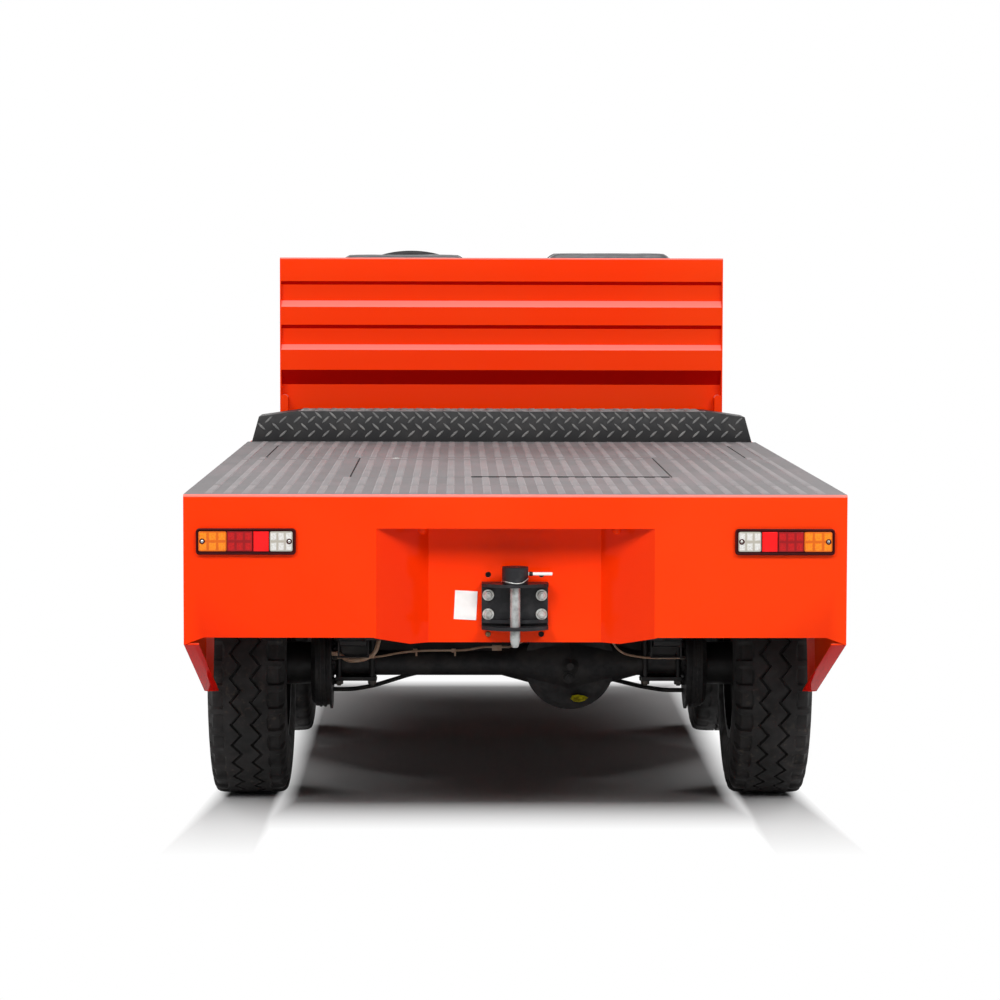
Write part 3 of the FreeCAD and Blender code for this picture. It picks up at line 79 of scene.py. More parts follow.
class NodeSheet:
    """The node tree of one material or world, with short ways to add the usual nodes."""

    def __init__(self, owner: Union[bpy.types.Material, bpy.types.World]) -> None:
        """Start on a new material or world, with its shader and its coordinates."""
        self.material = owner
        owner.use_nodes = True
        self.nodes = owner.node_tree.nodes
        self.links = owner.node_tree.links
        self.shader = self.nodes.get("Principled BSDF") or self.nodes["Background"]
        places = self.nodes.new("ShaderNodeTexCoord").outputs
        self.place, self.direction = places["Object"], places["Generated"]

    def feed(self, socket: Socket, value: Fed) -> None:
        """Link a socket into another, or write a plain value on it."""
        if isinstance(value, Socket):
            self.links.new(value, socket)
        else:
            socket.default_value = value

    def set(self, name: str, value: Fed) -> None:
        """Feed one socket of the shader."""
        self.feed(self.shader.inputs[name], value)

    def add(self, kind: str, inputs: dict[Union[str, int], Fed],
            **settings: object) -> bpy.types.Node:
        """Add a node.

        Args:
            kind: the node's type without its prefix.
            inputs: what each socket, by its name or number, is fed.
            settings: the node's own options.

        Returns:
            The node.
        """
        node = self.nodes.new("ShaderNode" + kind)
        for name, value in settings.items():
            setattr(node, name, value)
        for name, value in inputs.items():
            self.feed(node.inputs[name], value)
        return node

    def stretched(self, scale: Triple, turn: Triple = (0, 0, 0)) -> Socket:
        """Return object coordinates scaled and turned."""
        node = self.add("Mapping", {"Vector": self.place, "Scale": scale, "Rotation": turn})
        return node.outputs["Vector"]

    def noise(self, size: float, detail: float = 3.0, place: Optional[Socket] = None) -> Socket:
        """Return a noise whose blotches are about size metres across."""
        node = self.add("TexNoise", {"Vector": place or self.place, "Scale": 1 / size,
            "Detail": detail})
        return node.outputs["Fac"]

    def spread(self, source: Socket, low: float, high: float, to_low: float = 0.0,
            to_high: float = 1.0) -> Socket:
        """Return source moved from one range to another, clamped."""
        node = self.add("MapRange", {"Value": source, "From Min": low, "From Max": high,
            "To Min": to_low, "To Max": to_high})
        return node.outputs["Result"]

    def between(self, share: Fed, first: Fed, second: Fed) -> Socket:
        """Return a value between first, at share 0, and second."""
        return self.add("Mix", {0: share, 2: first, 3: second}).outputs[0]

    def sum(self, first: Fed, second: Fed, operation: str = "ADD") -> Socket:
        """Return a sum, or the result of another operation, of two values."""
        return self.add("Math", {0: first, 1: second}, operation=operation).outputs[0]

    def size_of(self, value: Socket) -> Socket:
        """Return a value without its sign."""
        return self.sum(value, 0.0, "ABSOLUTE")

    def mix(self, share: Fed, first: Union[Shade, Socket], second: Union[Shade, Socket]) -> Socket:
        """Return a colour between first, at share 0, and second."""
        first, second = [colour if isinstance(colour, Socket) else linear(colour)
            for colour in (first, second)]
        return self.add("Mix", {0: share, 6: first, 7: second}, data_type="RGBA").outputs[2]

    def bump(self, height: Socket, depth: float, normal: Optional[Socket] = None) -> Socket:
        """Return the normal of a surface that height raises by up to depth metres."""
        inputs: dict[str, Fed] = {"Height": height, "Distance": depth, "Strength": 1.0}
        if normal is not None:
            inputs["Normal"] = normal
        return self.add("Bump", inputs).outputs["Normal"]


@dataclass(frozen=True)
class Finish:
    """A finish with soft patches of a second tone, uneven gloss and a fine grain.

    Attributes:
        name: what the material is called.
        slot: the record's slot that it belongs to; not used.
        base: the main tone.
        patch: the tone of worn, dusty or thin places.
        patch_size: how large those places are.
        patch_share: how much of the surface they take, from 0 to 1.
        gloss: roughness at its lowest and highest.
        grain: the size of the grain.
        grain_depth: the height of the grain.
        metal: 1 for bare metal.
        coat: weight of a clear coat.
        shine: how strongly the surface itself mirrors, 0.5 being usual.
    """

    name: str
    slot: str
    base: Shade
    patch: Shade
    patch_size: float = 0.15
    patch_share: float = 0.4
    gloss: Pair = (0.4, 0.55)
    grain: float = 0.002
    grain_depth: float = 5e-05
    metal: float = 0.0
    coat: float = 0.0
    shine: float = 0.25

    def material(self) -> bpy.types.Material:
        """Return this finish's material, drawn on first use."""
        title = "finish_" + self.name
        if title in bpy.data.materials:
            return bpy.data.materials[title]
        sheet = NodeSheet(bpy.data.materials.new(title))
        self.draw(sheet)
        return sheet.material

    def patches(self, sheet: NodeSheet) -> Socket:
        """Return how worn each place is, from 0 to 1."""
        middle = 0.66 - 0.32 * self.patch_share
        return sheet.spread(sheet.noise(self.patch_size, 6.0), middle - 0.09, middle + 0.09)

    def plain(self, sheet: NodeSheet) -> Socket:
        """Return the main tone with its patches."""
        return sheet.mix(self.patches(sheet), self.base, self.patch)

    def draw(self, sheet: NodeSheet) -> None:
        """Draw the finish on a sheet."""
        sheet.set("Base Color", self.coloured(sheet))
        self.surface(sheet, sheet.noise(self.patch_size / 5, 4.0))

    def coloured(self, sheet: NodeSheet) -> Socket:
        """Return the finish's colour."""
        return self.plain(sheet)

    def surface(self, sheet: NodeSheet, cloud: Socket) -> None:
        """Draw the gloss, after a cloud, and the grain."""
        sheet.set("Roughness", sheet.spread(cloud, 0.35, 0.65, *self.gloss))
        sheet.set("Normal", sheet.bump(sheet.noise(self.grain, 2.0), self.grain_depth))
        sheet.set("Metallic", self.metal)
        sheet.set("Specular IOR Level", self.shine)
        sheet.set("Coat Weight", self.coat)
        sheet.set("Coat Roughness", 0.07)
        sheet.set("Coat IOR", 1.32)


@dataclass(frozen=True)
class SlopeShadedPaint(Finish):
    """Red paint with painted light: a painted highlight where it leans upwards, painted shade
    where it leans down.

    Attributes:
        pale: the painted-highlight tone of upward slopes.
        deep: the painted-shade tone of downward slopes.
        aside: share of the painted-shade tone on slopes that lean to the side.
    """

    pale: Shade = (252, 130, 118)
    deep: Shade = (200, 13, 4)
    aside: float = 0.0

    def coloured(self, sheet: NodeSheet) -> Socket:
        """Return the paint's colour, with painted highlight and painted shade after how each face
        leans.
        """
        facing = sheet.add("TexCoord", {}).outputs["Normal"]
        across, _, lean = sheet.add("SeparateXYZ", {"Vector": facing}).outputs
        # painted shade on sideways slopes, a painted highlight on upward ones, painted shade on
        # downward ones
        side_shade = sheet.spread(sheet.size_of(across), 0.2, 0.6, 0.0, self.aside)
        level = sheet.mix(side_shade, self.plain(sheet), self.deep)
        lit = sheet.mix(sheet.spread(lean, 0.14, 0.42), level, self.pale)
        return sheet.mix(sheet.spread(lean, -0.15, -0.5), lit, self.deep)


@dataclass(frozen=True)
class WheelPaint(Finish):
    """Wheel paint that turns near-black on the side towards the truck's middle."""

    inner_tone: Shade = (34, 33, 33)

    def coloured(self, sheet: NodeSheet) -> Socket:
        """Return the paint's colour, near-black on the inner side."""
        across = sheet.add("SeparateXYZ", {"Vector": sheet.place}).outputs["X"]
        inside = sheet.spread(sheet.size_of(across), 0.64, 0.62)
        return sheet.mix(inside, self.plain(sheet), self.inner_tone)


@dataclass(frozen=True)
class ScuffedSteel(Finish):
    """Bare-worn steel: streaks along the truck under crossing fine scratches."""

    streak: Shade = (190, 182, 184)
    stain: Shade = (140, 122, 125)

    def draw(self, sheet: NodeSheet) -> None:
        """Draw streaks, stains and scratches."""
        along = sheet.noise(1.0, 5.0, sheet.stretched((55, 5, 5)))
        across = sheet.noise(1.0, 4.0, sheet.stretched((9, 120, 9), (0, 0, 0.7)))
        stained = sheet.mix(sheet.spread(sheet.noise(0.5, 3.0), 0.46, 0.7, 0.0, 0.3),
            self.plain(sheet), self.stain)
        streaked = sheet.mix(sheet.spread(along, 0.42, 0.72, 0.0, 0.6), stained, self.streak)
        scratched = sheet.mix(sheet.spread(across, 0.66, 0.72, 0.0, 0.4), streaked, self.streak)
        sheet.set("Base Color", scratched)
        self.surface(sheet, along)


@dataclass(frozen=True)
class DustyRubber(Finish):
    """Tyre rubber with brown dust in fine specks, gathered in soft clouds."""

    dust: Shade = (88, 78, 68)

    def draw(self, sheet: NodeSheet) -> None:
        """Draw the rubber, then its dust."""
        specks = sheet.spread(sheet.noise(0.012, 5.0), 0.56, 0.74, 0.0, 0.55)
        clouds = sheet.spread(sheet.noise(0.16, 3.0), 0.42, 0.62)
        sheet.set("Base Color", sheet.mix(sheet.sum(specks, clouds, "MULTIPLY"),
            self.plain(sheet), self.dust))
        self.surface(sheet, sheet.noise(0.03, 3.0))


@dataclass(frozen=True)
class GrainedVinyl(Finish):
    """Leather-like vinyl: small cells with soft creases over them."""

    def surface(self, sheet: NodeSheet, cloud: Socket) -> None:
        """Draw the gloss and the two sizes of grain."""
        cells = sheet.add("TexVoronoi", {"Vector": sheet.place, "Scale": 1 / self.grain},
            feature="SMOOTH_F1").outputs["Distance"]
        creases = sheet.noise(0.04, 4.0, sheet.stretched((1, 2.5, 1)))
        sheet.set("Roughness", sheet.spread(cloud, 0.35, 0.65, *self.gloss))
        sheet.set("Normal", sheet.bump(cells, self.grain_depth, sheet.bump(creases, 0.0007)))
        sheet.set("Specular IOR Level", self.shine)
        sheet.set("Sheen Weight", 0.15)


@dataclass(frozen=True)
class CelledLens(Finish):
    """A coloured lens, the same on both sides of the truck, with a grid of soft cells in it.

    Attributes:
        glow: how much the lens shines of itself.
        start: where the cells start, across and up.
        cell: width and height of a cell.
    """

    glow: float = 0.1
    start: Pair = (0, 0)
    cell: Pair = (0.02, 0.02)

    def draw(self, sheet: NodeSheet) -> None:
        """Draw the cells' edges in the main tone and their middles in the other."""
        place = sheet.add("SeparateXYZ", {"Vector": sheet.place}).outputs
        away = []
        for axis, start, size in zip("XZ", self.start, self.cell):
            along = sheet.sum(sheet.size_of(place[axis]), start, "SUBTRACT")
            away.append(sheet.sum(sheet.sum(along, size, "DIVIDE"), 0.5, "PINGPONG"))
        middle = sheet.sum(away[0], away[1], "MINIMUM")
        share = sheet.sum(sheet.spread(middle, 0.04, 0.2), sheet.noise(0.004, 3.0), "MULTIPLY")
        colour = sheet.mix(sheet.spread(share, 0.15, 0.6), self.base, self.patch)
        sheet.set("Base Color", colour)
        sheet.set("Emission Color", colour)
        sheet.set("Emission Strength", self.glow)
        self.surface(sheet, sheet.noise(0.01))


@dataclass(frozen=True)
class ClearGlass(Finish):
    """Clear glass or clear plastic over something that shows through."""

    def draw(self, sheet: NodeSheet) -> None:
        """Draw faintly uneven glass."""
        haze = sheet.noise(0.02, 3.0)
        sheet.set("Base Color", sheet.mix(haze, self.base, self.patch))
        sheet.set("Roughness", sheet.spread(haze, 0.35, 0.65, *self.gloss))
        sheet.set("Transmission Weight", 1.0)
        sheet.set("IOR", 1.45)
        sheet.set("Normal", sheet.bump(haze, self.grain_depth))


class Paints:
    """Every finish of the truck."""

    red = Finish("body_red", "body_red", (250, 54, 3), (246, 62, 9), 0.9, 0.5, (0.34, 0.42),
        0.0035, 8e-06, coat=0.25, shine=0.0)
    # Body red with painted light: a painted highlight on upward slopes, painted shade on downward
    # ones.
    red_slope_shaded = SlopeShadedPaint("body_red_slope_shaded", "body_red", (250, 54, 3), (246, 60, 8), 0.9, 0.5,
        (0.34, 0.42), 0.0035, 8e-06, coat=0.25, shine=0.0)
    # The same with painted shade also on sideways slopes, such as the walls of the coupling
    # recess.
    red_rear_slope_shaded = replace(red_slope_shaded, name="body_red_rear_slope_shaded", aside=0.22)
    deck = ScuffedSteel("deck_valley", "deck_grey", (100, 97, 98), (106, 103, 104), 0.25, 0.5,
        (0.62, 0.75), 0.0012, 4e-05, streak=(122, 119, 120))
    # Rib steel: the deck's own steel painted lighter than the deck between the ribs, a painted
    # highlight on the raised ribs.
    rib = ScuffedSteel("deck_rib_painted_highlight", "deck_grey", (123, 119, 120), (131, 127, 128), 0.12, 0.5,
        (0.55, 0.7), 0.001, 3e-05, streak=(146, 142, 143))
    tread = Finish("tread_plate", "tread_black", (34, 34, 35), (45, 44, 44), 0.08, 0.3,
        (0.45, 0.6), 0.0015, 6e-05)
    # Lozenge: the tread plate's own black painted much lighter, a painted highlight on the raised
    # lozenges.
    lozenge = Finish("tread_lozenge_painted_highlight", "tread_black", (104, 104, 104), (132, 131, 129), 0.02, 0.5,
        (0.3, 0.45), 0.001, 3e-05, shine=0.5)
    # Pale top edge of the tread plate: partly wear, partly a painted highlight.
    wear_and_highlight_edge = Finish("wear_and_highlight_edge", "tread_black", (140, 132, 134), (110, 104, 106), 0.03, 0.5,
        (0.4, 0.55), 0.001, 3e-05)
    frame_paint = Finish("frame_paint", "frame_black", (30, 29, 30), (44, 40, 38), 0.2, 0.35,
        (0.45, 0.65), 0.003, 0.0001)
    bracket = Finish("bracket_paint", "bracket_black", (26, 26, 29), (46, 46, 48), 0.03, 0.25,
        (0.34, 0.5), 0.002, 6e-05)
    zinc = Finish("zinc", "pin_steel", (196, 199, 196), (160, 160, 154), 0.012, 0.4, (0.3, 0.45),
        0.001, 3e-05, metal=0.85)
    pin = Finish("pin_shank", "pin_steel", (176, 180, 179), (132, 134, 132), 0.02, 0.35,
        (0.35, 0.5), 0.0012, 3e-05, metal=0.4)
    white = Finish("white_plate", "pin_steel", (240, 240, 238), (228, 228, 225), 0.05, 0.3,
        (0.3, 0.4), 0.001, 1e-05)
    rust = Finish("rusty_stub", "pin_steel", (120, 96, 70), (160, 130, 96), 0.006, 0.5, (0.7, 0.9),
        0.001, 0.0002)
    yellow = Finish("inspection_mark", "axle_black", (206, 196, 20), (120, 110, 16), 0.012, 0.4,
        (0.5, 0.7), 0.001, 3e-05)
    tyre = DustyRubber("tyre_rubber", "tyre_rubber", (33, 32, 32), (42, 40, 40), 0.08, 0.4,
        (0.62, 0.85), 0.0012, 0.00012)
    rim = WheelPaint("rim_paint", "rim_paint", (176, 178, 178), (140, 138, 134), 0.1, 0.3,
        (0.4, 0.6), 0.002, 5e-05, metal=0.2)
    axle = Finish("axle_casting", "axle_black", (34, 33, 34), (48, 46, 45), 0.06, 0.4, (0.5, 0.72),
        0.004, 0.0004)
    link = Finish("link_steel", "link_steel", (70, 68, 66), (96, 90, 82), 0.05, 0.4, (0.45, 0.65),
        0.002, 0.0001, metal=0.3)
    motor = Finish("motor_paint", "motor_grey", (84, 86, 88), (64, 64, 64), 0.08, 0.4,
        (0.45, 0.65), 0.003, 0.0001)
    battery = Finish("battery_case", "battery_grey", (70, 74, 78), (88, 90, 92), 0.15, 0.4,
        (0.4, 0.6), 0.0015, 6e-05)
    cable = Finish("cable_sheath", "cable_black", (26, 26, 26), (44, 42, 40), 0.04, 0.4,
        (0.5, 0.7), 0.001, 5e-05)
    copper = Finish("pipe_copper", "pipe_copper", (176, 142, 118), (192, 166, 142), 0.03, 0.45,
        (0.4, 0.6), 0.001, 4e-05)
    plastic = Finish("moulded_plastic", "plastic_black", (38, 38, 40), (46, 46, 48), 0.1, 0.4,
        (0.42, 0.55), 0.0008, 7e-05)
    gloss_plastic = Finish("gloss_plastic", "plastic_black", (20, 20, 22), (28, 28, 30), 0.05, 0.3,
        (0.15, 0.25), 0.001, 1e-05)
    mat = Finish("floor_mat", "floor_black", (40, 40, 41), (58, 55, 52), 0.12, 0.4, (0.6, 0.8),
        0.0015, 0.0002)
    vinyl = GrainedVinyl("seat_vinyl", "seat_black", (66, 67, 70), (78, 79, 81), 0.1, 0.35,
        (0.3, 0.42), 0.0016, 0.00018, shine=0.5)
    thread = Finish("seam_thread", "seat_black", (88, 88, 90), (70, 70, 72), 0.01, 0.5,
        (0.7, 0.85), 0.0008, 0.0001)
    amber = CelledLens("lens_amber", "lamp_red", (206, 92, 4), (246, 136, 14), 0.2, 0.4,
        (0.12, 0.2), 0.0022, 0.0001, coat=0.2)
    dark_lens = CelledLens("lens_dark_red", "lamp_red", (138, 2, 8), (184, 6, 10), 0.2, 0.4,
        (0.12, 0.2), 0.0022, 0.0001, coat=0.2)
    bright_lens = CelledLens("lens_red", "lamp_red", (226, 2, 6), (240, 6, 10), 0.2, 0.4,
        (0.1, 0.18), 0.002, 0.0002, coat=0.2)
    clear_lens = CelledLens("lens_clear", "lamp_clear", (168, 163, 152), (212, 212, 210), 0.2, 0.4,
        (0.1, 0.2), 0.0022, 0.0001, coat=0.2)
    case = Finish("lamp_case", "plastic_black", (56, 7, 11), (66, 9, 14), 0.05, 0.3, (0.3, 0.4),
        0.001, 1e-05, shine=0.1)
    chrome = Finish("chrome", "lamp_clear", (214, 216, 218), (190, 192, 194), 0.05, 0.4,
        (0.06, 0.12), 0.002, 4e-06, metal=1.0)
    glass = ClearGlass("lamp_glass", "lamp_clear", (250, 252, 252), (240, 244, 244), 0.05, 0.4,
        (0.02, 0.05), 0.002, 1e-05)
    dial = Finish("dial_face", "plastic_black", (16, 16, 18), (22, 22, 24), 0.02, 0.4,
        (0.3, 0.4), 0.001, 1e-05)
    print_white = Finish("dial_print", "plastic_black", (232, 232, 228), (216, 216, 212), 0.01,
        0.4, (0.4, 0.5), 0.001, 1e-05)
    # Near-black for holes and gaps: painted shade put where only shade would show.
    painted_shade = Finish("painted_shade_gap", "frame_black", (8, 8, 8), (14, 13, 12), 0.05, 0.4, (0.8, 0.95),
        0.002, 0.0001)


# ---------------- modelling steps

class View(Enum):
    """The plane an outline is drawn in, and so the way it is pulled out."""

    PLAN = "z"
    FRONT = "y"
    SIDE = "x"

    def point(self, across: float, up: float, depth: float) -> Vector:
        """Return a point of the outline, that far along the view's axis."""
        if self is View.PLAN:
            return Vector((across, up, depth))
        if self is View.FRONT:
            return Vector((across, depth, up))
        return Vector((depth, across, up))


def clear() -> None:
    """Deselect everything."""
    bpy.ops.object.select_all(action="DESELECT")


def alone(piece: Piece) -> None:
    """Make one piece the only selected and the active one."""
    clear()
    piece.select_set(True)
    bpy.context.view_layer.objects.active = piece


@contextmanager
def editing(piece: Piece, kind: str = "FACE") -> Iterator[None]:
    """Work on all of one piece in edit mode, with verts, edges or faces to select."""
    alone(piece)
    bpy.ops.object.mode_set(mode="EDIT")
    bpy.ops.mesh.select_mode(type=kind)
    bpy.ops.mesh.select_all(action="SELECT")
    yield
    bpy.ops.object.mode_set(mode="OBJECT")


def choose(piece: Piece, kind: str, wanted: Callable[[object], bool]) -> None:
    """Select the verts, edges or faces of the edited piece that are wanted."""
    mesh = bmesh.from_edit_mesh(piece.data)
    bpy.ops.mesh.select_all(action="DESELECT")
    for part in getattr(mesh, kind):
        if wanted(part):
            part.select_set(True)
    mesh.select_flush_mode()
    bmesh.update_edit_mesh(piece.data)


def fixed(piece: Piece) -> Piece:
    """Move a piece's place, turn and size into its mesh."""
    alone(piece)
    bpy.ops.object.transform_apply(location=True, rotation=True, scale=True)
    return piece


def facing_out(piece: Piece, reach: float = 1e-05) -> Piece:
    """Merge doubled corners and turn every face outwards."""
    with editing(piece):
        bpy.ops.mesh.remove_doubles(threshold=reach)
        bpy.ops.mesh.normals_make_consistent(inside=False)
    return piece


def changed(piece: Piece, kind: str, **settings: object) -> Piece:
    """Apply a modifier of some kind, with its settings, to a piece."""
    alone(piece)
    change = piece.modifiers.new("change", kind)
    for name, value in settings.items():
        setattr(change, name, value)
    bpy.ops.object.modifier_apply(modifier=change.name)
    return piece


def soften(piece: Piece, width: float, segments: int = 2, angle: float = SHARP) -> Piece:
    """Round every edge sharper than angle degrees."""
    return changed(piece, "BEVEL", width=width, segments=segments, limit_method="ANGLE",
        angle_limit=math.radians(angle))


def extent(points: Sequence[Vector]) -> tuple[Vector, Vector]:
    """Return the lowest and the highest corner of the box round some points."""
    return tuple(Vector([pick(point[axis] for point in points) for axis in range(3)])
        for pick in (min, max))


def centre_of(node: str) -> Vector:
    """Return the middle of a CAD node's box."""
    low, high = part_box(node)
    return (low + high) / 2


def block(low: Sequence[float], high: Sequence[float], rounding: float = 0.001,
        segments: int = 2) -> Piece:
    """Add a cube, fit it between two corners and round its edges."""
    clear()
    start, end = Vector(low), Vector(high)
    bpy.ops.mesh.primitive_cube_add(size=1, location=(start + end) / 2)
    piece = bpy.context.object
    piece.scale = end - start
    return soften(fixed(piece), rounding, segments)


def rod(start: Sequence[float], end: Sequence[float], radius: float, sides: int = 20,
        rounding: float = 0.0008) -> Piece:
    """Add a cylinder from one point to another with rounded rims."""
    clear()
    first, last = Vector(start), Vector(end)
    run = last - first
    bpy.ops.mesh.primitive_cylinder_add(vertices=sides, radius=radius, depth=run.length,
        location=(first + last) / 2, rotation=run.to_track_quat("Z", "Y").to_euler())
    return soften(fixed(bpy.context.object), rounding, 2, 50.0)


def outline(points: Sequence[Pair], view: View, start: float, depth: float,
        rounding: float = 0.001, segments: int = 2) -> Piece:
    """Draw a flat outline, pull it out and round its edges.

    Args:
        points: the corners, across and up in the view's plane.
        view: the plane that the outline is drawn in.
        start: where it lies along the view's axis.
        depth: how far it is pulled out along that axis.
        rounding: the radius of its edges.
        segments: how many faces round an edge.

    Returns:
        The closed piece.
    """
    clear()
    bpy.ops.mesh.primitive_circle_add(vertices=len(points), radius=0.01, fill_type="NGON")
    piece = bpy.context.object
    for vertex, point in zip(piece.data.vertices, points):
        vertex.co = view.point(point[0], point[1], start)
    with editing(piece):
        bpy.ops.mesh.extrude_region_move(TRANSFORM_OT_translate={"value": view.point(0.0, 0.0,
            depth)})
    facing_out(piece)
    return soften(piece, rounding, segments) if rounding else piece


def at(x: float, y: float, z: float) -> Matrix:
    """Return a shift."""
    return Matrix.Translation((x, y, z))


def spun(degrees: float, axis: str) -> Matrix:
    """Return a turn about an axis through the origin."""
    return Matrix.Rotation(math.radians(degrees), 4, axis)


def lathe(profile: Sequence[Pair], steps: int = 48, centre: Sequence[float] = (0, 0, 0),
        axis: str = "Z", angle: float = FULL_TURN, rounding: float = 0.0) -> Piece:
    """Turn a closed profile round an axis.

    Args:
        profile: corners as distance from the axis and place along it.
        steps: how many flats one turn has.
        centre: the point on the axis that places are measured from.
        axis: the truck axis that it turns round, with a minus sign to run it backwards.
        angle: how far the profile is turned.
        rounding: the radius of its sharp edges.

    Returns:
        The turned piece.
    """
    clear()
    bpy.ops.mesh.primitive_circle_add(vertices=len(profile), radius=0.01, fill_type="NOTHING")
    piece = bpy.context.object
    for vertex, (radius, along) in zip(piece.data.vertices, profile):
        vertex.co = (radius, 0, along)
    with editing(piece, "VERT"):
        bpy.ops.mesh.spin(steps=steps, angle=angle, center=(0, 0, 0), axis=(0, 0, 1))
    facing_out(piece)
    way = {"X": Vector((1, 0, 0)), "Y": Vector((0, 1, 0)), "Z": Vector((0, 0, 1))}[axis[-1]]
    turn = (way if len(axis) == 1 else -way).to_track_quat("Z", "Y").to_matrix().to_4x4()
    piece.data.transform(at(*centre) @ turn)
    return soften(piece, rounding) if rounding else piece


def turned(profile: Sequence[Pair], *where: object, **more: object) -> Piece:
    """Turn a profile that closes straight onto its axis at both ends, as lathe does."""
    closed = [(0, profile[0][1]), *profile, (0, profile[-1][1])]
    return lathe(closed, *where, **more)


def routed(points: Sequence[Triple], radius: float, sides: int = 3) -> Piece:
    """Run a round wire smoothly past some points and make it a closed mesh."""
    clear()
    bpy.ops.curve.primitive_nurbs_path_add()
    wire = bpy.context.object
    line = wire.data.splines[0]
    line.points.add(max(len(points) - len(line.points), 0))
    for knot, point in zip(line.points, points):
        knot.co = (*point, 1)
    for knot in list(line.points)[len(points):]:
        knot.co = (*points[-1], 1)
    line.order_u = 3
    line.use_endpoint_u = True
    line.resolution_u = 6
    wire.data.bevel_depth = radius
    wire.data.bevel_resolution = sides
    wire.data.use_fill_caps = True
    alone(wire)
    bpy.ops.object.convert(target="MESH")
    return facing_out(bpy.context.object)


def moved(piece: Piece, change: Matrix) -> Piece:
    """Change a piece's mesh by a matrix."""
    piece.data.transform(change)
    return piece


def copied(piece: Piece, change: Matrix) -> Piece:
    """Return a copy with its own mesh, changed by a matrix."""
    twin = piece.copy()
    twin.data = piece.data.copy()
    bpy.context.scene.collection.objects.link(twin)
    return moved(twin, change)


def joined(pieces: Sequence[Piece]) -> Piece:
    """Join pieces into the first one."""
    clear()
    for piece in pieces:
        piece.select_set(True)
    bpy.context.view_layer.objects.active = pieces[0]
    if len(pieces) > 1:
        bpy.ops.object.join()
    return pieces[0]


def repeated(piece: Piece, changes: Iterable[Matrix]) -> Piece:
    """Put a copy of a piece at each change, join the copies and drop the pattern."""
    copies = [copied(piece, change) for change in changes]
    bpy.data.objects.remove(piece)
    return joined(copies)


def shifts(places: Iterable[Sequence[float]]) -> list[Matrix]:
    """Return a shift to each place."""
    return [at(*place) for place in places]


def round_about(centre: Sequence[float], axis: str, count: int,
        start: float = 0.0) -> list[Matrix]:
    """Return evenly spaced turns about an axis through a point."""
    there = at(*centre)
    return [there @ Matrix.Rotation(start + FULL_TURN * index / count, 4, axis) @ there.inverted()
        for index in range(count)]


def mirrored(piece: Piece) -> Piece:
    """Return a mirror image of a piece on the truck's other side."""
    return facing_out(copied(piece, Matrix.Scale(-1, 4, (1, 0, 0))))


def both_sides(piece: Piece) -> Piece:
    """Join a piece with its mirror image."""
    return joined([piece, mirrored(piece)])


def hex_bolt(centre: Sequence[float], axis: str, size: float = 0.0095, head: float = 0.007,
        washer: float = 0.013) -> Piece:
    """Model a bolt: a chamfered six-sided head and stub on a round washer.

    Args:
        centre: where the washer meets the surface.
        axis: the way the head points, as in lathe.
        size: half the head's width across its corners.
        head: the height of the head.
        washer: the radius of the washer.

    Returns:
        The bolt.
    """
    ring = turned([(washer, 0), (washer, 0.0016), (washer - 0.0008, 0.0022)], 24, centre, axis)
    cap = turned([(size, 0.0018), (size, head - 0.0004), (size * 0.82, head + 0.0016)],
        6, centre, axis)
    stub = turned([(size * 0.5, head), (size * 0.5, head + 0.004), (size * 0.4, head + 0.005)],
        16, centre, axis)
    return joined([ring, cap, stub])


def shell_of(node: str, width: float, wanted: Optional[Callable[[object], bool]] = None,
        shortest: float = 0.02, segments: int = 2) -> Piece:
    """Copy a CAD node, merge its triangles into faces and round its long sharp edges.

    Args:
        node: the CAD node.
        width: the radius of the rounding.
        wanted: which sharp edges are rounded, or None for all.
        shortest: edges under this length stay sharp.
        segments: how many faces round an edge.

    Returns:
        The copy, which rides on nothing yet.
    """
    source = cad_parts[node]
    piece = bpy.data.objects.new(node + "_shell", source.data.copy())
    bpy.context.scene.collection.objects.link(piece)
    facing = math.radians(SHARP)
    with editing(piece, "EDGE"):
        bpy.ops.mesh.customdata_custom_splitnormals_clear()
        bpy.ops.mesh.remove_doubles(threshold=2e-05)
        bpy.ops.mesh.dissolve_limited(angle_limit=math.radians(0.6))
        bpy.ops.mesh.normals_make_consistent(inside=False)
        choose(piece, "edges", lambda edge: len(edge.link_faces) == 2
            and edge.calc_length() > shortest and edge.is_convex
            and (edge.calc_face_angle(0.0) > facing) and (wanted is None or wanted(edge)))
        bpy.ops.mesh.bevel(offset=width, segments=segments, affect="EDGES", clamp_overlap=True)
    return piece


@dataclass
class SubAssembly:
    """One group of pieces that are built and dressed together."""

    def settle(self, piece: Piece, name: str, finish: Finish, body: str = CHASSIS,
            stands_for: Sequence[str] = (), smooth: float = SHARP) -> Piece:
        """Name a finished piece, dress it and let it ride.

        Args:
            piece: the finished mesh, with its place in its vertices.
            name: what it is called.
            finish: what it is finished in.
            body: the CAD body that it moves with.
            stands_for: CAD nodes that it is shown instead of.
            smooth: faces that meet at less than this many degrees are shaded as one.

        Returns:
            The piece.
        """
        alone(piece)
        piece.name = name
        piece.data.name = name
        bpy.ops.object.shade_smooth_by_angle(angle=math.radians(smooth))
        piece.data.materials.clear()
        piece.data.materials.append(finish.material())
        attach(piece, body)
        if stands_for:
            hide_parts(*stands_for)
        log.info("%s: %d faces on %s", name, len(piece.data.polygons), body)
        return piece

    def build(self) -> None:
        """Build every piece of the group."""
        raise NotImplementedError


# ---------------- bodywork and deck

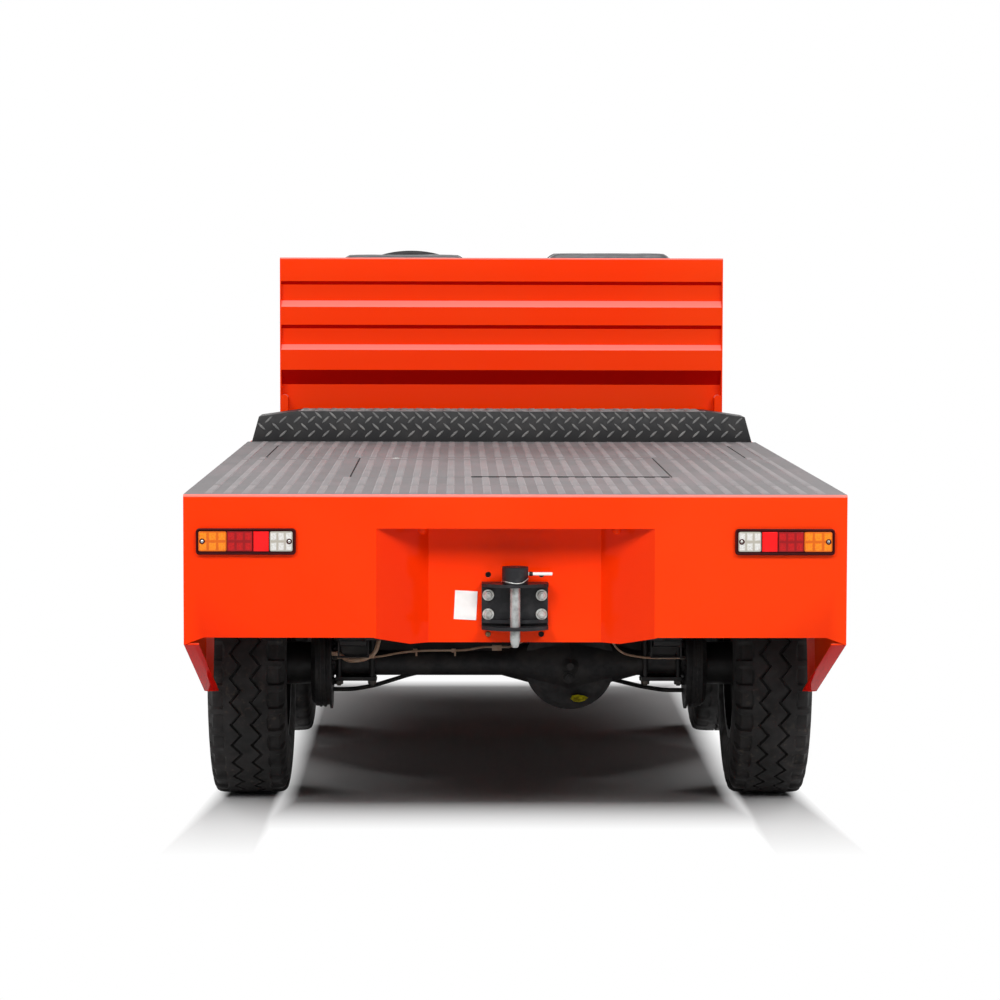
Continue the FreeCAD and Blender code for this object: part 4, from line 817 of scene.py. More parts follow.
@dataclass
class Bodywork(SubAssembly):
    """The painted sheets, each with its folded edges rounded.

    Attributes:
        rear_edge: radius of the rear face's outer edges.
        fold: radius of the other outer edges.
        nub_places: how far across the two plugs under the recess roof are.
        nub_radius: size of those plugs.
        nub_top: height of the recess roof, from which they hang.
        plate: width and height of the blank plate beside the coupling.
        plate_centre: where the plate is, across and up.
    """

    rear_edge: float = 0.0056
    fold: float = 0.0016
    nub_places: Pair = (-0.225, 0.246)
    nub_radius: float = 0.01
    nub_top: float = 0.8035
    plate: Pair = (0.055, 0.071)
    plate_centre: Pair = (-0.12, 0.607)

    def build(self) -> None:
        """Build the shells, the plugs and the blank plate."""
        back, (low, high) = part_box("rear_panel")[0].y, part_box("headboard")
        # The rear face, the side panels and the headboard take red paint with painted highlight
        # and painted shade by slope.
        self.build_face("rear_panel", Paints.red_rear_slope_shaded, lambda spot: spot.y < back + 0.001)
        for node, paint in (("side_panel_left", Paints.red_slope_shaded),
                ("side_panel_right", Paints.red_slope_shaded), ("front_cowl", Paints.red),
                ("seat_base", Paints.red)):
            self.settle(shell_of(node, self.fold), node + "_skin", paint, stands_for=[node])
        self.build_face("headboard", Paints.red_slope_shaded, lambda spot: spot.z > high.z - 0.001
            and spot.y < low.y + 0.001)
        self.build_plugs()
        self.build_plate()

    def build_face(self, node: str, paint: Finish, outer: Callable[[Vector], bool]) -> None:
        """Build a sheet with its outer edges well rounded and the others sharp."""
        shell = shell_of(node, self.rear_edge, lambda edge: all(outer(vertex.co)
            for vertex in edge.verts), segments=3)
        self.settle(shell, node + "_skin", paint, stands_for=[node])

    def build_plugs(self) -> None:
        """Model the round plugs that hang under the recess roof."""
        radius, back = self.nub_radius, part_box("rear_panel")[0].y
        plug = lathe([(0, 0), (radius, 0), (radius, 0.01), (radius * 0.85, 0.014),
            (radius * 0.45, 0.0168), (0, 0.0175)], 24, (0, back + 0.04, self.nub_top), "-Z")
        self.settle(repeated(plug, shifts((x, 0, 0) for x in self.nub_places)),
            "recess_plugs", Paints.red)

    def build_plate(self) -> None:
        """Model the blank white plate: a thin tile with a raised rim, slightly askew."""
        wide, tall = self.plate
        across, up = self.plate_centre
        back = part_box("tow_bracket")[1].y
        tile = block((across - wide / 2, back - 0.0022, up - tall / 2),
            (across + wide / 2, back + 0.0002, up + tall / 2), 0.0006)
        with editing(tile):
            choose(tile, "faces", lambda face: face.normal.y < -0.95 and face.calc_area() > 0.003)
            bpy.ops.mesh.inset(thickness=0.0022, depth=-0.0005)
        middle = at(across, 0.0, up)
        moved(tile, middle @ spun(3.0, "Y") @ middle.inverted())
        self.settle(tile, "blank_plate", Paints.white)


@dataclass
class LoadDeck(SubAssembly):
    """Raised anti-slip ribs on the deck and on its two lids, and their small fittings.

    Attributes:
        pitch: distance between ribs.
        width: width of a rib's foot.
        height: how far a rib stands up.
        rows: where each row of ribs starts and ends, forward of the deck's rear edge.
        margin: space kept between a rib and a lid's edge.
    """

    pitch: float = 0.045
    width: float = 0.021
    height: float = 0.0021
    rows: tuple[Pair, ...] = ((0.022, 0.318), (0.342, 1.44), (1.492, 2.13), (2.166, 2.462))
    margin: float = 0.012

    def build(self) -> None:
        """Build the ribs of the deck and of each lid, then the fittings."""
        lids = [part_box("hatch_lid"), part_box("battery_cover")]
        for node, holes in (("deck_plate", lids), ("hatch_lid", []), ("battery_cover", [])):
            low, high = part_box(node)
            ribs = [self.rib(*span, high.z) for span in self.spans(low, high, holes)]
            # The raised ribs take the lighter rib steel: a painted highlight.
            self.settle(joined(ribs), node + "_ribs", Paints.rib, CHASSIS if holes else node)
        self.build_slots()

    def columns(self, low: float, high: float) -> list[float]:
        """Return the rib centres between two sides."""
        count = int(0.8 / self.pitch) + 1
        middles = [(index + 0.5) * self.pitch for index in range(-count, count)]
        reach = self.width / 2 + self.margin / 2
        return [x for x in middles if low + reach < x < high - reach]

    def spans(self, low: Vector, high: Vector, holes: Sequence[tuple[Vector,
            Vector]]) -> list[Triple]:
        """Return (across, start, end) of every rib on one plate, broken round its holes."""
        found = []
        rear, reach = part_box("deck_plate")[0].y, self.width / 2 + self.margin
        for first, last in self.rows:
            whole = (max(rear + first, low.y + self.margin),
                min(rear + last, high.y - self.margin))
            for x in self.columns(low.x, high.x):
                runs = [whole]
                for hole, end_of_hole in holes:
                    if hole.x - reach < x < end_of_hole.x + reach:
                        runs = [part for start, end in runs
                            for part in ((start, min(end, hole.y - self.margin)),
                            (max(start, end_of_hole.y + self.margin), end))]
                found += [(x, start, end) for start, end in runs if end - start > 0.03]
        return found

    def rib(self, across: float, start: float, end: float, floor: float) -> Piece:
        """Model one rib: a bar drawn in towards its top on all four sides."""
        clear()
        bpy.ops.mesh.primitive_cube_add(size=1,
            location=(across, (start + end) / 2, floor + self.height / 2 - 0.0003))
        piece = bpy.context.object
        piece.scale = (self.width, end - start, self.height + 0.0006)
        fixed(piece)
        top = floor + self.height
        for vertex in piece.data.vertices:
            if vertex.co.z > top - 0.0005:
                vertex.co.x += math.copysign(0.0035, across - vertex.co.x)
                vertex.co.y += math.copysign(0.01, (start + end) / 2 - vertex.co.y)
        return piece

    def build_slots(self) -> None:
        """Model the finger ring, and the hand slot, finger hole and lid edge in painted shade."""
        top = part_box("deck_plate")[1].z
        # the hand slot is a near-black recess: painted shade for the hollow
        slot = outline(rounded_rectangle((0.272, 0.486), (0.03, 0.07), 0.0145), View.PLAN,
            top - 0.002, 0.0024, 0.0)
        with editing(slot):
            choose(slot, "faces", lambda face: face.normal.z > 0.9)
            bpy.ops.mesh.inset(thickness=0.0025)
            bpy.ops.mesh.extrude_region_move(TRANSFORM_OT_translate={"value": (0, 0, -0.0012)})
        self.settle(slot, "hand_slot", Paints.painted_shade)
        grip = (-0.318, -0.306, top)
        ring = lathe([(0.0095, -0.001), (0.0145, -0.001), (0.0145, 0.0008), (0.0135, 0.0014),
            (0.0105, 0.0014), (0.0095, 0.0006)], 32, grip)
        # near-black disc in the finger ring: painted shade for the hole
        hole = turned([(0.0097, -0.0008), (0.0097, 0.0002)], 32, grip)
        low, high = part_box("hatch_lid")
        # near-black strip standing out of the lid's rear edge: painted shade for that edge's
        # shaded face
        lid_edge_shade = block((-0.105, low.y - 0.0006, high.z - 0.002),
            (high.x - 0.004, low.y + 0.0014, high.z + 0.0024), 0.0006)
        for piece, name, finish in ((ring, "finger_ring", Paints.zinc),
                (hole, "finger_hole", Paints.painted_shade), (lid_edge_shade, "hatch_lid_edge_shade", Paints.painted_shade)):
            self.settle(piece, name, finish, "hatch_lid")


def rounded_rectangle(centre: Pair, size: Pair, radius: float, steps: int = 5) -> list[Pair]:
    """Return the outline of a rectangle with round corners, anticlockwise."""
    points = []
    for quarter, (sign_u, sign_v) in enumerate(((1, 1), (-1, 1), (-1, -1), (1, -1))):
        for step in range(steps + 1):
            angle = math.pi / 2 * (quarter + step / steps)
            points.append((centre[0] + sign_u * (size[0] / 2 - radius) + radius * math.cos(angle),
                centre[1] + sign_v * (size[1] / 2 - radius) + radius * math.sin(angle)))
    return points


@dataclass
class KickPlate(SubAssembly):
    """Tread-plate ledge at the front of the deck, with its raised lozenges.

    Attributes:
        pitch: distance between lozenges of one row.
        row: distance between rows, which lean in turn to the right and to the left.
        length: length of a lozenge.
        width: width of a lozenge.
        height: how far it stands up.
        lowest: height of the lowest row.
        first: place of the first lozenge of the lowest row.
    """

    pitch: float = 0.0449
    row: float = 0.0222
    length: float = 0.034
    width: float = 0.0082
    height: float = 0.0026
    lowest: float = 0.8875
    first: float = -0.757

    def build(self) -> None:
        """Build the ledge, its lozenges and top edge, both painted pale as highlight, the edge
        also worn.
        """
        self.settle(shell_of("kick_plate", 0.0009), "kick_plate_skin", Paints.tread,
            stands_for=["kick_plate"])
        self.low, self.high = low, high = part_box("kick_plate")
        self.half = max(vertex.co.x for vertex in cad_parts["kick_plate"].data.vertices
            if vertex.co.z > high.z - 0.001)
        upright, flat = at(0, low.y, 0) @ spun(90, "X"), at(0, 0, high.z)
        places = [upright @ change for change in self.places()]
        places += [flat @ change for change in self.top_places()]
        # the lozenges are painted pale: a painted highlight
        self.settle(repeated(self.lozenge(), places), "kick_plate_lozenges", Paints.lozenge)
        y, z = low.y + 0.0012, high.z - 0.0006
        # pale top edge: partly wear, partly a painted highlight
        edge = rod((-self.half, y, z), (self.half, y, z), 0.0016, 10, 0.0003)
        self.settle(edge, "kick_plate_edge", Paints.wear_and_highlight_edge)

    def lozenge(self) -> Piece:
        """Model one lozenge at the origin, pointing along X and standing up along Z."""
        half, side = self.length / 2, self.width / 2
        quarter = [(1, 0), (0.6, 0.8), (0, 1), (-0.6, 0.8)]
        points = [(sign * half * u, sign * side * v) for sign in (1, -1) for u, v in quarter]
        piece = outline(points, View.PLAN, -0.0004, self.height + 0.0004, 0.0)
        for vertex in piece.data.vertices:
            if vertex.co.z > self.height - 0.0002:
                vertex.co.x *= 0.72
                vertex.co.y *= 0.45
        return piece

    def grid(self, rows: int, columns: int = 36) -> Iterator[Triple]:
        """Yield (across, up, lean) of every lozenge of a field of rows."""
        for row in range(rows):
            odd = row % 2
            for column in range(-1, columns):
                yield self.first + (column
                    + odd / 2) * self.pitch, row * self.row, 43.0 if odd else -43.0

    def places(self) -> Iterator[Matrix]:
        """Yield where the lozenges of the rear-facing side go, in its own plane."""
        low, high, reach = self.low, self.high, self.length * 0.36
        for across, up, lean in self.grid(5):
            z = self.lowest + up
            slope = (abs(across) - self.half) / (high.x - self.half)
            roof = high.z - max(slope, 0.0) * 0.022 - 0.002
            side = high.x - (z - low.z) * 0.3 - reach - 0.001
            if abs(across) < side and z + reach < roof + 0.012 and (z - reach > low.z - 0.004):
                lift = min(0.0, roof - (z + reach)) + max(0.0, low.z + 0.006 - (z - reach))
                yield at(across, z + lift, 0) @ spun(lean, "Z")

    def top_places(self) -> Iterator[Matrix]:
        """Yield where the lozenges of the level top go, in its own plane."""
        for across, up, lean in self.grid(7):
            y = self.low.y + 0.016 + up
            if abs(across) < self.half - 0.012 and y < self.high.y - 0.012:
                yield at(across, y, 0) @ spun(lean, "Z")


# ---------------- lamps and coupling

class LensKind(Enum):
    """The windows of a tail lamp, from the outer end inwards."""

    AMBER = "amber"
    STOP = "stop"
    REFLECTOR = "reflector"
    REVERSE = "reverse"


@dataclass
class TailLamps(SubAssembly):
    """Two long tail lamps, each a dark case with four lenses and two screws.

    Attributes:
        length: length of the case.
        margins: how far the lenses sit in from the case's lower and upper edges.
        windows: where each lens starts and ends, inwards from the case's outer end.
        cells: cells of a lens across and up.
    """

    length: float = 0.24
    margins: Pair = (0.0082, 0.0066)
    windows: tuple[tuple[LensKind, float, float], ...] = ((LensKind.AMBER, 0.0062, 0.074),
        (LensKind.STOP, 0.0752, 0.1362), (LensKind.REFLECTOR, 0.1384, 0.1754),
        (LensKind.REVERSE, 0.1778, 0.2326))
    cells: tuple[int, int] = (3, 2)

    def build(self) -> None:
        """Build the right-hand lamp's pieces, each with its mirror image."""
        low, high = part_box("tail_lamps")
        self.outer, self.face = high.x, low.y
        self.low, self.high, self.back = low.z, high.z, high.y
        self.build_case()
        for kind, start, end in self.windows:
            self.build_lens(kind, start, end)
        self.build_screws()

    def place(self, inward: float) -> float:
        """Return the place across the truck of a distance from the outer end."""
        return self.outer - inward

    def build_case(self) -> None:
        """Build the dark case with its sunk front and round corners."""
        middle = (self.place(self.length / 2), (self.low + self.high) / 2)
        case = outline(rounded_rectangle(middle, (self.length, self.high - self.low), 0.008),
            View.FRONT, self.back, self.face - self.back, 0.0)
        with editing(case):
            choose(case, "faces", lambda face: face.normal.y < -0.9)
            bpy.ops.mesh.inset(thickness=0.0016, depth=0.0)
            bpy.ops.mesh.extrude_region_move(TRANSFORM_OT_translate={"value": (0, -0.0016, 0)})
            bpy.ops.mesh.inset(thickness=0.0022, depth=0.0)
            bpy.ops.mesh.extrude_region_move(TRANSFORM_OT_translate={"value": (0, 0.0046, 0)})
        self.settle(both_sides(soften(case, 0.0006)), "lamp_cases", Paints.case,
            stands_for=["tail_lamps"])

    def build_lens(self, kind: LensKind, start: float, end: float) -> None:
        """Build one lens, with the outer corners of the end ones rounder."""
        paint = {LensKind.AMBER: Paints.amber, LensKind.STOP: Paints.dark_lens,
            LensKind.REFLECTOR: Paints.bright_lens, LensKind.REVERSE: Paints.clear_lens}[kind]
        low, high = self.low + self.margins[0], self.high - self.margins[1]
        corner = 0.0045 if kind in (LensKind.AMBER, LensKind.REVERSE) else 0.0015
        centre = (self.place((start + end) / 2), (low + high) / 2)
        lens = outline(rounded_rectangle(centre, (end - start, high - low), corner), View.FRONT,
            self.face + 0.006, -0.0078, 0.0012, 3)
        cell = ((end - start) / self.cells[0], (high - low) / self.cells[1])
        inset = 10.0 if kind is LensKind.REFLECTOR else 1.0
        finish = replace(paint, name="%s_lamp" % paint.name, start=(self.place(end), low),
            cell=(cell[0] * inset, cell[1] * inset))
        self.settle(both_sides(lens), "lens_" + kind.value, finish)

    def build_screws(self) -> None:
        """Build the dark collar and the cross-headed screw near each end."""
        middle = (self.low + self.high) / 2 + 0.001
        collars, heads = [], []
        for inward in (self.windows[0][1] + 0.0092, self.windows[3][2] - 0.008):
            spot = (self.place(inward), self.face - 0.0016, middle)
            collars.append(lathe([(0.0032, 0), (0.0068, 0), (0.0068, 0.0012), (0.0056, 0.002),
                (0.0038, 0.0014), (0.0032, 0.0006)], 24, spot, "-Y"))
            heads.append(lathe([(0, 0), (0.0036, 0), (0.0034, 0.0008), (0.0022, 0.0014),
                (0, 0.0016)], 20, spot, "-Y"))
            collars += [block((spot[0] - u, spot[1] - 0.0018, spot[2] - v),
                (spot[0] + u, spot[1] - 0.001, spot[2] + v), 0.0001, 1) for u,
                v in ((0.0022, 0.0003), (0.0003, 0.0022))]
        self.settle(both_sides(joined(collars)), "lamp_collars", Paints.case)
        self.settle(both_sides(joined(heads)), "lamp_screws", Paints.zinc)


@dataclass
class Coupling(SubAssembly):
    """The coupling's bolts, and its lifting pin with a collar, a handle and a wire clip.

    Attributes:
        bolt_across: how far out the bolts are.
        bolt_heights: their heights.
        spare_height: height of the lower spare holes.
        head_radius: radius of the pin's head.
        axis: how far forward of its rearmost place the pin's axis is.
        bar_rise: height of the handle above the pin's seat.
    """

    bolt_across: float = 0.065
    bolt_heights: Pair = (0.587, 0.634)
    spare_height: float = 0.536
    head_radius: float = 0.032
    axis: float = 0.029
    bar_rise: float = 0.0245

    def build(self) -> None:
        """Build the bolts, the spare-hole fillings and the pin."""
        low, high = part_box("tow_bracket")
        plate = high.y - 0.012
        bolt = hex_bolt((0, 0, 0), "-Y", 0.0108, 0.0065, 0.0142)
        places = [(side * self.bolt_across, plate - 0.0088, z) for side in SIDES
            for z in self.bolt_heights]
        self.settle(repeated(bolt, shifts(places)), "bracket_bolts", Paints.zinc)
        stub = turned([(0.0058, -0.02), (0.0058, 0.004), (0.0045, 0.0052)], 20,
            (-self.bolt_across, high.y, self.spare_height), "-Y")
        self.settle(stub, "spare_stub", Paints.rust)
        self.build_pin()

    def build_pin(self) -> None:
        """Build the lifting pin's pieces, which all move with it."""
        low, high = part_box("tow_pin")
        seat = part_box("tow_bracket")[1].z + 0.0001
        y = low.y + self.axis
        radius = self.head_radius
        shank = turned([(0.0066, low.z), (0.0082, low.z + 0.002), (0.0125, low.z + 0.018),
            (0.0125, seat + 0.004)], 40, (0, y, 0))
        self.settle(shank, "pin_shank", Paints.pin, "tow_pin", ["tow_pin"])
        head = turned([(radius - 0.002, seat), (radius, seat + 0.002), (radius, high.z - 0.0016),
            (radius - 0.0014, high.z - 0.0002), (0.01, high.z)], 56, (0, y, 0))
        self.settle(head, "pin_head", Paints.bracket, "tow_pin")
        bar = lathe([(0, radius - 0.004), (0.004, radius - 0.004), (0.004, radius + 0.056),
            (0.0034, radius + 0.058), (0, radius + 0.0585)], 20, (0, y, seat + self.bar_rise), "X")
        self.settle(bar, "pin_handle", Paints.white, "tow_pin")
        knob = lathe([(0, 0), (0.0052, 0), (0.0056, 0.003), (0.005, 0.0085), (0, 0.0095)], 20,
            (radius + 0.002, y, seat + self.bar_rise), "X")
        self.settle(knob, "pin_collar", Paints.bracket, "tow_pin")
        out, lip = radius + 0.0024, seat + 0.0012
        clip = routed([(out * math.cos(math.radians(turn)), y + out * math.sin(math.radians(turn)),
            lip + rise) for turn, rise in ((-25, 0.014), (-50, 0.005), (-80, 0.002), (-110, 0.004),
            (-140, 0.007), (-170, 0.005), (-200, 0.004))], 0.0012)
        self.settle(clip, "pin_wire_clip", Paints.zinc, "tow_pin", smooth=60)


# ---------------- wheels

class TreadKind(Enum):
    """The two tread patterns: broad zig-zag ribs at the rear, plainer ribs in front."""

    ZIGZAG = "rear"
    RIBBED = "front"


@dataclass
class Tyre(SubAssembly):
    """A tyre modelled over one tread pitch and repeated round the wheel.

    Attributes:
        tread: its pattern.
        pitches: how many times the pattern repeats round the tyre.
        cells: how many steps model one pitch.
        groove: how far from the middle the two main grooves run.
        groove_width: width of those grooves.
        groove_depth: their depth.
        swing: how far the grooves swing to each side.
        pocket_start: where the shoulder pockets start, from the middle.
        pocket_depth: their depth.
        outward: how far the tyre stands off its CAD place, away from the truck.
    """

    tread: TreadKind = TreadKind.ZIGZAG
    pitches: int = 34
    cells: int = 10
    groove: float = 0.0265
    groove_width: float = 0.0095
    groove_depth: float = 0.0105
    swing: float = 0.0125
    pocket_start: float = 0.059
    pocket_depth: float = 0.008
    outward: float = 0.005

    def __post_init__(self) -> None:
        """Plain the grooves and the pockets of a ribbed tread."""
        if self.tread is TreadKind.RIBBED:
            self.groove, self.swing, self.pocket_depth = 0.029, 0.0028, 0.0022
            self.outward = 0.0

    def half_profile(self) -> list[Pair]:
        """Return the outer surface from the tread's middle to one bead, as (out, radius)."""
        inner = self.groove - self.groove_width / 2
        outer = self.groove + self.groove_width / 2
        floor = 0.3528 - self.groove_depth
        return [(0, 0.353), (inner, 0.3529), (inner + 0.0014, floor), (outer - 0.0014, floor),
            (outer, 0.3529), (self.pocket_start - 0.004, 0.3527), (self.pocket_start, 0.3526),
            (self.pocket_start + 0.0012, 0.3526), (0.064, 0.3525), (0.076, 0.3518), (0.086, 0.35),
            (0.0925, 0.3462), (0.0962, 0.34), (0.0988, 0.331), (0.101, 0.318), (0.103, 0.3),
            (0.1044, 0.278), (0.1048, 0.26), (0.1036, 0.25), (0.104, 0.245), (0.1018, 0.238),
            (0.0972, 0.223), (0.0918, 0.212), (0.0836, 0.2076), (0.0832, 0.1903)]

    def is_cut(self, out: float, radius: float) -> bool:
        """Return whether a point of the profile is lowered inside a pocket."""
        return out > self.pocket_start + 0.001 and radius > 0.322

    def shaped(self, out: float, radius: float, cell: int) -> Triple:
        """Move one corner of the profile as the tread asks.

        Args:
            out: distance from the middle, with its side's sign.
            radius: distance from the axle.
            cell: which step of the pitch it is on.

        Returns:
            The new out and radius, and a turn about the axle.
        """
        size, side = abs(out), math.copysign(1.0, out)
        phase = cell % self.cells / self.cells
        wave = 4 * abs(phase - 0.5) - 1
        if 0.01 < size < self.groove + self.groove_width:
            return out + wave * self.swing, radius, 0
        last = self.cells - 3
        step = cell % self.cells
        pocket = 1 <= step <= last
        if pocket and self.is_cut(size, radius):
            nudge = {1: -0.3, last: 0.3}.get(step, 0.0)
            share = min(max((size - 0.08) / 0.014, 0.0), 1.0)
            inward = side * self.pocket_depth * 0.8 * share
            return out - inward, radius - self.pocket_depth * (1 - 0.6 * share), math.radians(
                nudge)
        if pocket and abs(size - self.pocket_start) < 0.0021:
            bow = 0.0075 * math.sin(math.pi * (step - 1) / (last - 1)) ** 0.6
            return out - side * bow, radius, 0
        return out, radius, 0

    def model(self) -> Piece:
        """Model the tyre about the X axis, with its middle at the origin."""
        right = self.half_profile()
        left = [(-out, radius) for out, radius in right[:0:-1]]
        profile = [(radius, out) for out, radius in left + right]
        step = FULL_TURN / self.pitches / self.cells
        sector = lathe(profile, self.cells, angle=step * self.cells)
        for vertex in sector.data.vertices:
            radius = math.hypot(vertex.co.x, vertex.co.y)
            angle = math.atan2(vertex.co.y, vertex.co.x)
            cell = round(abs(angle) / step)
            out, radius, turn = self.shaped(vertex.co.z, radius, cell)
            angle += math.copysign(turn, angle)
            vertex.co = (radius * math.cos(angle), radius * math.sin(angle), out)
        turns = [Matrix.Rotation(FULL_TURN * index / self.pitches, 4, "Z")
            for index in range(self.pitches)]
        ring = facing_out(repeated(sector, turns), 8e-05)
        return moved(ring, spun(90, "Y"))

    def build(self) -> None:
        """Build both tyres of this tread's axle."""
        pattern = self.model()
        for side in ("left", "right"):
            node = "tyre_%s_%s" % (self.tread.value, side)
            middle = centre_of(node)
            middle.x += math.copysign(self.outward, middle.x)
            tyre = copied(pattern, at(*middle))
            body = "wheel_%s_%s" % (self.tread.value, side)
            self.settle(tyre, node + "_tread", Paints.tyre, body, [node])
        bpy.data.objects.remove(pattern)


@dataclass
class WheelTrim(SubAssembly):
    """Wheel nuts, hub cap and valve of each wheel.

    Attributes:
        nuts: how many wheel nuts there are.
        circle: radius of their circle.
    """

    nuts: int = 6
    circle: float = 0.08

    def build(self) -> None:
        """Build the trim of all four wheels."""
        for axle in ("rear", "front"):
            for side, sign in (("left", -1.0), ("right", 1)):
                self.build_wheel(axle, side, sign)

    def build_wheel(self, axle: str, side: str, sign: float) -> None:
        """Build one wheel's nuts, cap and valve."""
        tag = "%s_%s" % (axle, side)
        middle, body = centre_of("tyre_" + tag), "wheel_" + tag
        way = "X" if sign > 0 else "-X"
        face = middle.x + sign * 0.0332
        seat = (face, middle.y, middle.z + self.circle)
        nut = hex_bolt(seat, way, 0.0135, 0.013, 0.0165)
        nuts = repeated(nut, round_about(middle, "X", self.nuts))
        self.settle(nuts, "wheel_nuts_" + tag, Paints.zinc, body)
        cap = lathe([(0, 0.064), (0.03, 0.064), (0.04, 0.06), (0.04, 0.0655), (0.0375, 0.069),
            (0.028, 0.0735), (0.012, 0.075), (0, 0.0752)], 40, (middle.x, middle.y, middle.z), way)
        self.settle(cap, "hub_cap_" + tag, Paints.link, body)
        stem = lathe([(0, 0), (0.0048, 0), (0.0042, 0.02), (0.0036, 0.03), (0.0034, 0.038),
            (0, 0.039)], 16, (middle.x + sign * 0.033, middle.y, middle.z + 0.15), way)
        self.settle(stem, "valve_" + tag, Paints.cable, body)


# ---------------- running gear

@dataclass
class RunningGear(SubAssembly):
    """Bolts, nuts, clips and plugs on the axles, springs and steering.

    Attributes:
        diff_centre: middle of the differential across the truck.
    """

    diff_centre: float = 0.166

    def build(self) -> None:
        """Build the trim of the rear axle, the springs, the brakes and the steering."""
        self.axle = centre_of("tyre_rear_left")
        self.axle.x = 0.0
        self.build_cover()
        self.build_spring_nuts()
        self.build_drum_trim()
        self.build_pipe_clips()
        self.build_motor_trim()
        self.build_steering_trim()

    def build_cover(self) -> None:
        """Build the plug and the paint mark on the rear cover."""
        plug = hex_bolt((self.diff_centre - 0.004, self.axle.y - 0.0875, self.axle.z - 0.03), "-Y",
            0.014, 0.007, 0.017)
        self.settle(plug, "diff_plug", Paints.axle)
        mark = outline([(0, 0.004), (0.017, 0.007), (0.034, 0.002), (0.044, -0.006),
            (0.034, -0.02), (0.02, -0.027), (0.004, -0.022), (-0.003, -0.01)], View.FRONT, 0.0,
            -0.0012, 0.0004)
        tilt = at(self.diff_centre + 0.006, self.axle.y - 0.064,
            self.axle.z - 0.084) @ spun(46, "X")
        self.settle(moved(mark, tilt), "inspection_mark", Paints.yellow)

    def build_spring_nuts(self) -> None:
        """Build the nuts and threads under the U-bolts and the eye bolts of all springs."""
        nuts, bands = [], []
        for node, x, y, half in (("rear_springs", 0.417, -0.784, 0.43),
                ("front_springs", 0.33, 0.441, 0.4)):
            low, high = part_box(node)
            nuts += [hex_bolt((x + 0.045 * u, y + 0.042 * v, low.z + 0.0042), "-Z", 0.0115, 0.009,
                0.0125) for u in SIDES for v in SIDES]
            eye = high.z - 0.021
            for end in SIDES:
                for way, face in (("X", x + 0.0435), ("-X", x - 0.0435)):
                    nuts.append(hex_bolt((face, y + end * half, eye), way, 0.0125, 0.009, 0.015))
                bands.append(self.clip(x, y + end * half * 0.52, low, high))
        self.settle(both_sides(joined(nuts)), "spring_nuts", Paints.link)
        self.settle(both_sides(joined(bands)), "spring_clips", Paints.frame_paint)

    def clip(self, x: float, y: float, low: Vector, high: Vector) -> Piece:
        """Model a leaf clip: a strap round the leaves with its bolt."""
        middle = low.z + (0.118 if high.z > 0.52 else 0.124)
        wide, tall, wall = 0.0375, 0.026, 0.004
        legs = [block((x + side * wide - (wall if side < 0 else 0), y - 0.011, middle - tall),
            (x + side * wide + (wall if side > 0 else 0), y + 0.011, middle + tall), 0.001)
            for side in SIDES]
        base = block((x - wide - wall, y - 0.011, middle - tall - wall),
            (x + wide + wall, y + 0.011, middle - tall), 0.001)
        pin = rod((x - wide - 0.008, y, middle + tall - 0.005),
            (x + wide + 0.008, y, middle + tall - 0.005), 0.005, 12)
        return joined([*legs, base, pin])

    def build_drum_trim(self) -> None:
        """Build the cooling rims and the back-plate bolts of the rear brake drums."""
        rims = [lathe([(0.116, -0.003), (0.1205, -0.003), (0.1205, 0.003), (0.116, 0.003)],
            centre=(place, self.axle.y, self.axle.z), axis="X", rounding=0.0008)
            for place in (0.5, 0.512)]
        self.settle(both_sides(joined(rims)), "drum_rims", Paints.axle)
        bolt = hex_bolt((0.4803, self.axle.y, self.axle.z + 0.058), "-X", 0.0095, 0.006, 0.011)
        centre = (0.4803, self.axle.y, self.axle.z)
        self.settle(both_sides(repeated(bolt, round_about(centre, "X", 6, 0.4))),
            "backplate_bolts", Paints.axle)

    def build_pipe_clips(self) -> None:
        """Build the folded clips and the unions that hold the brake pipes."""
        strips = []
        for x in (-0.255, -0.15):
            pipe = self.axle + Vector((x, -0.03, 0.037))
            strips.append(block(pipe - Vector((0.006, 0.0052, 0.0052)), pipe
                + Vector((0.006, 0.0052, 0.0046)), 0.0008))
            strips.append(block(pipe + Vector((0.001, -0.0052, -0.015)), pipe
                + Vector((0.006, -0.0036, 0)), 0.0005))
        self.settle(joined(strips), "pipe_clips", Paints.copper)
        unions = [lathe([(0.0032, 0), (0.0068, 0), (0.0068, 0.01), (0.0052, 0.014),
            (0.0032, 0.014)], 6, (x, self.axle.y - 0.058, self.axle.z + 0.02), way) for x,
            way in ((-0.4795, "X"), (0.4795, "-X"))]
        self.settle(joined(unions), "pipe_unions", Paints.link)

    def build_motor_trim(self) -> None:
        """Build the motor's cooling ribs, end bell and terminal box."""
        low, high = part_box("drive_motor")
        middle = centre_of("drive_motor")
        radius = (high.x - low.x) / 2
        fin = block((-0.0022, low.y + 0.03, radius - 0.002),
            (0.0022, high.y - 0.03, radius + 0.006), 0.001, 1)
        moved(fin, at(middle.x, 0, middle.z))
        fins = repeated(fin, round_about(middle, "Y", 30))
        self.settle(fins, "motor_fins", Paints.motor)
        bell = turned([(radius + 0.004, -0.002), (radius + 0.004, 0.016), (radius - 0.006, 0.028),
            (0.05, 0.034), (0.046, 0.04)], centre=(middle.x, high.y - 0.012, middle.z), axis="Y")
        self.settle(bell, "motor_bell", Paints.motor)
        terminals = block((middle.x - 0.045, middle.y - 0.03, high.z - 0.012),
            (middle.x + 0.045, middle.y + 0.05, high.z + 0.03), 0.004, 3)
        self.settle(terminals, "motor_terminals", Paints.plastic)

